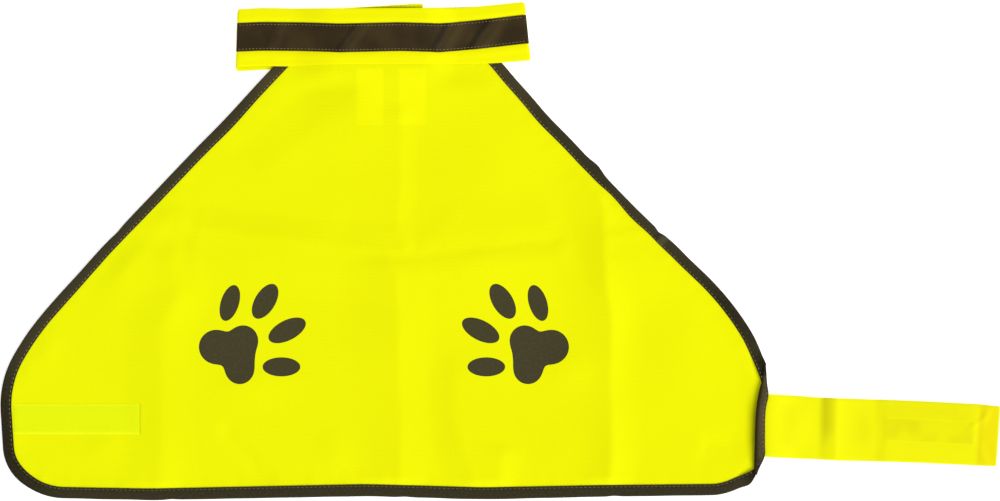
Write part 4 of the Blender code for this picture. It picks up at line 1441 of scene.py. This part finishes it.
def binding_stitch_lines():
    spots = []
    for stretch, (start, end) in STRETCHES.items():
        along = stations(start + 1.0, end - 1.0, LINE_STEP)
        inset = np.full(len(along), STITCH_INSET)
        x, y, lift, pinch = binding_spot(along, inset, stretch)
        spots.append((x, y, upper_leg_height(x, y, along, inset, lift, pinch)))
    y = stations(*TURNED_STITCHES, LINE_STEP)[::-1]
    width = flowing(TURNED_ROWS, 2, y) - flowing(TURNED_ROWS, 1, y)
    x, z = turned_surface(y, 1.0 - STITCH_MARGIN / width)
    spots.append((x, y, z))
    return [
        (*raised(np.column_stack(spot), CLOTH), STITCH_PITCH, STITCH_LENGTH, THREAD_RADIUS)
        for spot in spots
    ]


def tape_stitch_lines(rows):
    """Along both long edges of the reflective strip."""
    lines = []
    for edge, side in ((1, 1.0), (-2, -1.0)):
        line = rows[HAIRPIN_STEPS // 2:-HAIRPIN_STEPS // 2, edge]
        inward = np.array([0.0, side * TAPE_STITCH_SHIFT, 0.0])
        lines.append((*raised(line + inward, CLOTH), TAPE_PITCH, TAPE_STITCH, TAPE_THREAD))
    return lines


def box_places(left, right, low, high, inset):
    left, right, low, high = left + inset, right - inset, low + inset, high - inset
    return [(left, low), (right, low), (right, high), (left, high), (left, low)]


def yellow_stitch_lines():
    """Round the belly's loop strip, round the strap's patch and along its hem."""
    on_panel = CLOTH / 2 + TOUCH + LOOP_WALL / 2 + LOOP_SWELL * LAID_GROOVE
    x, y = dense(box_places(*BELLY_LOOP, LAID_STITCH_INSET), LINE_STEP).T
    around = [(np.column_stack([x, y, panel_middle(x, y) + on_panel]), LOOP_WALL)]
    hem = STRAP_ROWS[-1][0] - HEM_LENGTH + HEM_STITCH_INSET
    edge = STRAP_ROWS[-1][2] - 1.0
    for places in (box_places(*STRAP_PATCH, PATCH_STITCH_INSET), [(hem, -edge), (hem, edge)]):
        around.append((np.column_stack(strap_spot(*dense(places, LINE_STEP).T)), BAND))
    return [(*raised(line, wall), FINE_PITCH, FINE_STITCH, FINE_THREAD) for line, wall in around]


# ---------------------------------------------------------------- materials

class Look:
    """A cloth material and short ways to add nodes to it."""

    def __init__(self, name, specular, tint, sheen):
        self.material = bpy.data.materials.new(name)
        self.material.use_nodes = True
        self.tree = self.material.node_tree
        self.shader = self.tree.nodes["Principled BSDF"]
        set_inputs(self.shader, {
            "Specular IOR Level": specular,
            "Specular Tint": (*tint, 1.0),
            "Sheen Weight": sheen,
            "Sheen Roughness": SHEEN_ROUGHNESS,
            "Sheen Tint": (*tint, 1.0),
        })
        self.place = self.add("UVMap", {"uv_map": "cut"}).outputs[0]
        self.u, self.v, _ = self.add("SeparateXYZ", None, {0: self.place}).outputs

    def add(self, kind, settings=None, inputs=None):
        made = self.tree.nodes.new("ShaderNode" + kind)
        for name, value in (settings or {}).items():
            setattr(made, name, value)
        for key, value in (inputs or {}).items():
            if isinstance(value, bpy.types.NodeSocket):
                self.tree.links.new(value, made.inputs[key])
            else:
                made.inputs[key].default_value = value
        return made

    def math(self, operation, a, b=0.0, c=0.5):
        return self.add("Math", {"operation": operation}, {0: a, 1: b, 2: c}).outputs[0]

    def times(self, first, *others):
        for other in others:
            first = self.math("MULTIPLY", first, other)
        return first

    def less(self, value):
        return self.math("SUBTRACT", 1.0, value)

    def off(self, value, place):
        return self.math("ABSOLUTE", self.math("SUBTRACT", value, place))

    def within(self, share, low, high):
        """A share of nought to one, brought between two values."""
        return self.math("MULTIPLY_ADD", share, high - low, low)

    def wave(self, value, pitch):
        """Straight up and down between nought and one, once in each pitch."""
        return self.times(self.math("PINGPONG", self.math("DIVIDE", value, pitch), 0.5), 2.0)

    def ramp(self, value, low, high):
        inputs = {"Value": value, "From Min": low, "From Max": high}
        return self.add("MapRange", {"interpolation_type": "SMOOTHSTEP"}, inputs).outputs[0]

    def rise(self, value, low, high):
        """Ramp between two places in millimetres."""
        return self.ramp(value, low * MM, high * MM)

    def noise(self, scale, detail=2.0):
        inputs = {"Vector": self.place, "Scale": scale, "Detail": detail}
        return self.add("TexNoise", None, inputs).outputs[0]

    def blotches(self, scale, low, high, detail=2.0):
        return self.ramp(self.noise(scale, detail), low, high)

    def mix(self, factor, a, b):
        inputs = {0: factor}
        inputs[6] = a if isinstance(a, bpy.types.NodeSocket) else (*a, 1.0)
        inputs[7] = b if isinstance(b, bpy.types.NodeSocket) else (*b, 1.0)
        return self.add("Mix", {"data_type": "RGBA"}, inputs).outputs[2]

    def tint(self, base, where, share, tone):
        return self.mix(self.times(where, share), base, tone)

    def gaps(self, base, weave, share, tone):
        """Another tone in the hollows of the weave."""
        return self.tint(base, self.less(weave), share, tone)

    def box(self, left, right, low, high, soft):
        """One inside a box of the cut's own places in millimetres, falling off softly."""
        return self.times(
            self.rise(self.u, left - soft, left + soft),
            self.rise(self.u, right + soft, right - soft),
            self.rise(self.v, low - soft, low + soft),
            self.rise(self.v, high + soft, high - soft),
        )

    def knit(self, pitch):
        """Small chevrons in columns, as on a warp knit's face."""
        lean = self.math("PINGPONG", self.math("DIVIDE", self.u, pitch), 0.5)
        rows = self.math("ADD", self.math("DIVIDE", self.v, pitch), lean)
        return self.times(self.math("PINGPONG", rows, 0.5), 2.0)

    def twill(self, pitch):
        return self.wave(self.math("ADD", self.u, self.times(self.v, TWILL_SLOPE)), pitch)

    def plain(self, pitch):
        over, under = (self.math("SINE", self.times(way, FULL_TURN / pitch)) for way in (self.u, self.v))
        return self.within(self.times(over, under), 0.5, 1.0)

    def finish(self, colour, weave, depth, rough):
        """Colour, bump from the weave and fibres, and roughness from the weave."""
        fibres = self.noise(FIBRE_SCALE, 3.0)
        height = self.math("ADD", weave, self.times(fibres, 0.5))
        inputs = {"Strength": 0.5, "Distance": depth, "Height": height}
        bump = self.add("Bump", None, inputs).outputs[0]
        uneven = self.times(self.math("SUBTRACT", fibres, 0.5), FIBRE_ROUGH)
        roughness = self.math("ADD", uneven, self.math("SUBTRACT", rough, self.times(weave, WEAVE_SMOOTH)))
        for name, value in (("Normal", bump), ("Base Color", colour), ("Roughness", roughness)):
            self.tree.links.new(value, self.shader.inputs[name])
        return self.material


def scaled(colour, share):
    return tuple(min(1.0, c * share) for c in colour)


def panel_look():
    look = Look("hi_vis_knit", specular=0.2, tint=(1.0, 1.0, 0.0), sheen=0.04)
    weave = look.knit(KNIT_PITCH)
    base = look.mix(look.blotches(9.0, 0.3, 0.7), scaled(YELLOW, 0.975), YELLOW)
    base = look.tint(base, look.rise(look.u, *PANEL_BRIGHTER), 0.5, BAND_YELLOW)
    middle = look.rise(look.off(look.u, LABEL_MIDDLE * MM), *LABEL_FOLD_SHOWN)
    high = look.rise(look.v, CARE_LABEL[2] - 5.0, CARE_LABEL[2] + 30.0)
    shown = look.times(look.box(*CARE_LABEL, 1.5), look.within(middle, 0.03, 1.0))
    base = look.tint(base, shown, look.within(high, 0.65, 1.0), LABEL_YELLOW)
    base = look.gaps(base, weave, 0.12, scaled(YELLOW, 0.7))
    # Painted shade on the panel beside the turned binding's raised fold
    left, right, low, high, soft = FOLD_SHADE
    shade = look.times(
        look.rise(look.u, left, right),
        look.rise(look.v, low - soft, low + soft),
        look.rise(look.v, high + soft, high - soft),
    )
    base = look.tint(base, shade, 0.6, SHADE_YELLOW)
    return look.finish(base, weave, depth=0.00012, rough=0.82)


def ink_look():
    look = Look("printed_ink", specular=0.12, tint=(1.0, 0.95, 0.7), sheen=0.0)
    base = look.tint(INK, look.blotches(420.0, 0.45, 0.8, 4.0), 0.35, scaled(INK, 1.9))
    return look.finish(base, look.knit(KNIT_PITCH), depth=0.0001, rough=0.6)


def band_look():
    look = Look("hi_vis_weave", specular=0.2, tint=(1.0, 1.0, 0.0), sheen=0.04)
    weave = look.plain(BAND_PITCH)
    base = look.mix(look.blotches(14.0, 0.3, 0.7), scaled(BAND_YELLOW, 0.98), BAND_YELLOW)
    base = look.gaps(base, weave, 0.1, scaled(BAND_YELLOW, 0.75))
    return look.finish(base, weave, depth=0.00012, rough=0.8)


def strap_look():
    look = Look("hi_vis_strap", specular=0.2, tint=(1.0, 1.0, 0.02), sheen=0.04)
    weave = look.plain(BAND_PITCH)
    base = look.mix(look.blotches(14.0, 0.3, 0.7), scaled(STRAP_YELLOW, 0.98), STRAP_YELLOW)
    base = look.tint(base, look.rise(look.u, *STRAP_WORN), 0.55, STRAP_END_YELLOW)
    # Painted shade beside the strap's swellings, and darker cloth over and above the hook patch
    for *dimmed_box, share in STRAP_SHADE_AND_SHOW_THROUGH:
        base = look.tint(base, look.box(*dimmed_box), share, SHADE_AND_PATCH_YELLOW)
    # Painted shade on the slope behind the strap's crease, fainter towards its lower edge and drawn in there
    high = look.rise(look.v, *STRAP_SHADE_SHOWN)
    drawn = look.math("ADD", look.u, look.times(look.less(high), STRAP_SHADE_DRAWN * MM))
    foot, crest = STRAP_CREASE[:2]
    crease_shade = look.times(
        look.rise(look.u, foot - 1.0, foot + 6.0),
        look.rise(drawn, crest + 2.0, crest - 9.0),
        look.within(high, 0.4, 1.0),
    )
    base = look.tint(base, crease_shade, 0.8, CREASE_SHADE_YELLOW)
    low = STRAP_ROWS[0][2] + STRAP_HOOK_SHIFT - STRAP_HOOK_HALF
    high = low + 2 * STRAP_HOOK_HALF
    patch = look.box(*STRAP_HOOK_X, low, high, 1.5)
    patch = look.times(patch, look.within(look.blotches(42.0, 0.4, 0.62, 1.0), 0.1, 0.7))
    base = look.mix(patch, base, scaled(SHADE_AND_PATCH_YELLOW, 0.97))
    for line in (low, high):
        near = look.rise(look.off(look.v, line * MM), SEAM_REACH, 0.0)
        near = look.times(near, look.box(*STRAP_HOOK_X, 0.0, 60.0, 6.0))
        base = look.tint(base, near, 0.6, STRAP_YELLOW)
    base = look.tint(base, look.rise(look.u, *STRAP_HEM_SHOWN), 0.8, HEM_YELLOW)
    base = look.gaps(base, weave, 0.1, scaled(BAND_YELLOW, 0.75))
    return look.finish(base, weave, depth=0.00012, rough=0.8)


def binding_look(name, dark, light, zones, mottling=0.3, shaded=None):
    """Bias tape in a fine twill with stretches of other tones, some of them painted shadow and painted
    highlight, rubbed lighter along its fold.

    A shaded one has painted shade across its width instead, from the first place to the second.
    """
    look = Look(name, specular=0.04, tint=(1.0, 0.9, 0.6), sheen=0.02)
    weave = look.twill(TWILL_PITCH)
    base = look.mix(look.blotches(11.0, 0.35, 0.7, 3.0), scaled(dark, 0.8), scaled(dark, 1.15))
    # Tones along the tape, among them painted shadow at the crossings and painted highlight and shade at the
    # kink
    for start, end, soft, share, tone in zones:
        base = look.tint(base, look.box(start, end, *BINDING_ACROSS, soft), share, tone)
    base = look.tint(base, look.blotches(500.0, 0.35, 0.75, 4.0), mottling, light)
    if shaded:
        base = look.tint(base, look.rise(look.v, *shaded), 0.8, DEEP_OLIVE)
    else:
        rub = look.rise(look.off(look.v, BINDING_FOLD * MM), RUB_REACH, 0.0)
        base = look.tint(base, look.times(rub, look.blotches(60.0, 0.35, 0.75)), 0.3, light)
    base = look.gaps(base, weave, 0.3, scaled(dark, 0.5))
    return look.finish(base, weave, depth=0.0001, rough=0.85)


def tape_look():
    """Beaded reflective cloth, dark when no lamp shines on it, with painted shade in its troughs and a
    painted highlight beside each.
    """
    look = Look("reflective_cloth", specular=0.15, tint=(1.0, 0.85, 0.6), sheen=0.0)
    base = look.mix(look.blotches(28.0, 0.35, 0.7, 3.0), TAPE_DARK, TAPE_BROWN)
    # Painted shade in each trough across the tape, and a painted highlight on one side of it
    for place, lean, depth, half in COLLAR_CREASES:
        centre = look.math("MULTIPLY_ADD", look.v, lean, (place - TAPE_START - lean * TAPE_HALF) * MM)
        side = look.math("DIVIDE", look.math("SUBTRACT", look.u, centre), half * MM)
        trough_shade = look.ramp(look.off(side, -0.8), 1.6, 0.0)
        lit = look.ramp(look.off(side, 2.2), 3.0, 0.0)
        base = look.tint(base, trough_shade, depth, scaled(TAPE_DARK, 0.35))
        base = look.tint(base, lit, 0.4 * depth, TAPE_HIGHLIGHT)
    base = look.tint(base, look.blotches(3200.0, 0.5, 0.8), 0.25, scaled(TAPE_BROWN, 2.2))
    return look.finish(base, look.plain(TAPE_WEAVE), depth=0.00006, rough=0.55)


def fastener_look(name, colour, scale, depth, size=None):
    """Loop or hook tape; a strip of a known size has painted highlights along its sewn edges and a painted
    shadow at its far end.
    """
    look = Look(name, specular=0.2, tint=(1.0, 1.0, 0.02), sheen=0.05)
    hooks = look.blotches(scale, 0.35, 0.65, 1.0)
    base = look.mix(look.noise(30.0), scaled(colour, 0.97), colour)
    if size:
        length, width = size
        # Painted highlights along the strip's sewn edges, and a painted shadow at its far end
        rim = look.math("MINIMUM", look.v, look.math("SUBTRACT", width * MM, look.v))
        edge_highlight = look.rise(look.off(rim, LAID_STITCH_INSET * MM), SEAM_REACH, 0.0)
        base = look.tint(base, edge_highlight, 0.8, FINE_YELLOW)
        base = look.tint(base, look.rise(look.u, length - 1.1, length - 0.5), 0.8, scaled(YELLOW, 0.6))
    base = look.gaps(base, hooks, 0.1, scaled(colour, 0.75))
    return look.finish(base, hooks, depth, rough=0.75)


def label_look():
    look = Look("label_satin", specular=0.4, tint=(1.0, 1.0, 1.0), sheen=0.05)
    base = look.mix(look.noise(40.0), scaled(LABEL, 0.95), LABEL)
    return look.finish(base, look.twill(SATIN_PITCH), depth=0.00004, rough=0.5)


def thread_look(name, colour, dull=None):
    """Twisted sewing thread, read from the object's own place; duller low down and at right."""
    look = Look(name, specular=0.2, tint=colour, sheen=0.1)
    look.place = look.add("TexCoord").outputs["Object"]
    strands = look.noise(1500.0)
    base = look.mix(look.ramp(strands, 0.3, 0.7), scaled(colour, 0.75), colour)
    if dull:
        x, y, _ = look.add("SeparateXYZ", None, {0: look.place}).outputs
        low, right = look.rise(y, *THREAD_LOW), look.rise(x, *THREAD_RIGHT)
        dulled = look.math("MAXIMUM", look.times(low, 0.9), look.times(right, 0.5))
        base = look.tint(base, dulled, look.rise(x, *THREAD_END), dull)
    return look.finish(base, strands, depth=0.00005, rough=0.7)


# ---------------------------------------------------------------- stage

def floor_and_light():
    mesh = bpy.data.meshes.new("floor")
    corners = [(x * FLOOR_HALF, y * FLOOR_HALF, FLOOR_Z * MM) for x, y in FLOOR_CORNERS]
    mesh.from_pydata(corners, [], [(0, 1, 2, 3)])
    floor = add_object("floor", mesh)
    material = bpy.data.materials.new("pale_floor")
    material.use_nodes = True
    set_inputs(material.node_tree.nodes["Principled BSDF"], {
        "Base Color": FLOOR_GREY,
        "Roughness": FLOOR_ROUGHNESS,
        "Specular IOR Level": FLOOR_SPECULAR,
        "Emission Color": WHITE,
        "Emission Strength": FLOOR_GLOW,
    })
    mesh.materials.append(material)

    world = bpy.data.worlds.new("studio")
    bpy.context.scene.world = world
    world.use_nodes = True
    set_inputs(world.node_tree.nodes["Background"], {"Color": WHITE, "Strength": WORLD_STRENGTH})
    lamp = bpy.data.lights.new("key", "SUN")
    lamp.energy = SUN_STRENGTH
    lamp.angle = math.radians(SUN_SPREAD)
    key = add_object("key", lamp)
    turn, height = math.radians(SUN_TURN), math.radians(SUN_HEIGHT)
    flat = math.cos(height)
    key.location = (flat * math.cos(turn), flat * math.sin(turn), math.sin(height))
    key.rotation_euler = (-key.location).to_track_quat("-Z", "Y").to_euler()
    bpy.context.scene.view_settings.view_transform = "Standard"


def place_camera():
    data = bpy.data.cameras.new("camera")
    data.sensor_width = SENSOR_WIDTH
    data.lens = SENSOR_WIDTH * CAMERA_HEIGHT * PIXELS_PER_MM / PHOTO_PIXELS[0]
    camera = add_object("camera", data)
    camera.location = (VIEW_CENTRE[0] * MM, VIEW_CENTRE[1] * MM, CAMERA_HEIGHT * MM)
    bpy.context.scene.camera = camera


# ---------------------------------------------------------------- the vest


def make_vest():
    band, strap_cloth = band_look(), strap_look()
    left_tape = binding_look("bias_tape_left", OLIVE, OLIVE_WORN, LEFT_ZONES)
    right_tape = binding_look("bias_tape_right", OLIVE, OLIVE_WORN, RIGHT_ZONES)
    tape = tape_look()
    thread = thread_look("pale_thread", THREAD, THREAD_DULL)
    bright = thread_look("bright_thread", FINE_YELLOW)
    hook = fastener_look("hook_tape", HOOK_YELLOW, *HOOK_NAP)
    loop = fastener_look("loop_tape", LOOP_YELLOW, *LOOP_NAP)
    left, right, low, high = BELLY_LOOP
    belly = fastener_look("belly_loop_tape", LOOP_YELLOW, *LOOP_NAP, (right - left, high - low))
    tan = thread_look("tan_thread", TAPE_THREAD_TAN)

    panel, panel_flat, panel_area = make_panel(panel_look(), ink_look())

    for name, node, stretch, look in (
        ("left_bottom_binding", "binding_left_bottom", "left", left_tape),
        ("right_binding", "binding_right", "right", right_tape),
    ):
        piece = make_binding(name, node, stretch, look)
    turned_tape = binding_look("turned_tape", TURNED_OLIVE, TURNED_WORN, TURNED_ZONES, 0.5, TURNED_SHADE)
    turned = make_turned_binding(turned_tape)

    collar, collar_grid, strip, strip_grid = make_collar(band, tape)

    strap, strap_grid = make_strap(strap_cloth)

    over = CLOTH / 2 + TOUCH + LOOP_WALL / 2
    strip_piece = laid_piece("loop_strip", "belly_loop", BELLY_LOOP, over, LOOP_WALL, belly, LOOP_SWELL)
    label_piece = laid_piece("blank_label", "care_label", CARE_LABEL, -over, LOOP_WALL, label_look())

    left, right, low, high = COLLAR_PATCH
    for name, node, z, look, slot in (
        ("neck_hook_patch", "collar_hook", COLLAR_HOOK_Z, hook, "fastener_hook"),
        ("neck_loop_patch", "collar_loop", COLLAR_LOOP_Z, loop, "fastener_loop"),
    ):
        piece = level_piece(name, node, COLLAR_PATCH, np.zeros_like, z + CAD_CLOTH / 2, CLOTH, look)
    piece = level_piece("strap_hook_patch", "strap_hook", STRAP_PATCH,
                        lambda x: flowing(STRAP_ROWS, 1, x), BAND / 2 + TOUCH, BAND, hook)

    for name, lines, look, slot in (
        ("binding_stitches", binding_stitch_lines(), thread, "binding_tape"),
        ("tape_stitches", tape_stitch_lines(strip_grid), tan, "reflective_tape"),
        ("bright_stitches", yellow_stitch_lines(), bright, "hi_vis_band"),
    ):
        stitch_piece(name, lines, look)


make_vest()
floor_and_light()
place_camera()
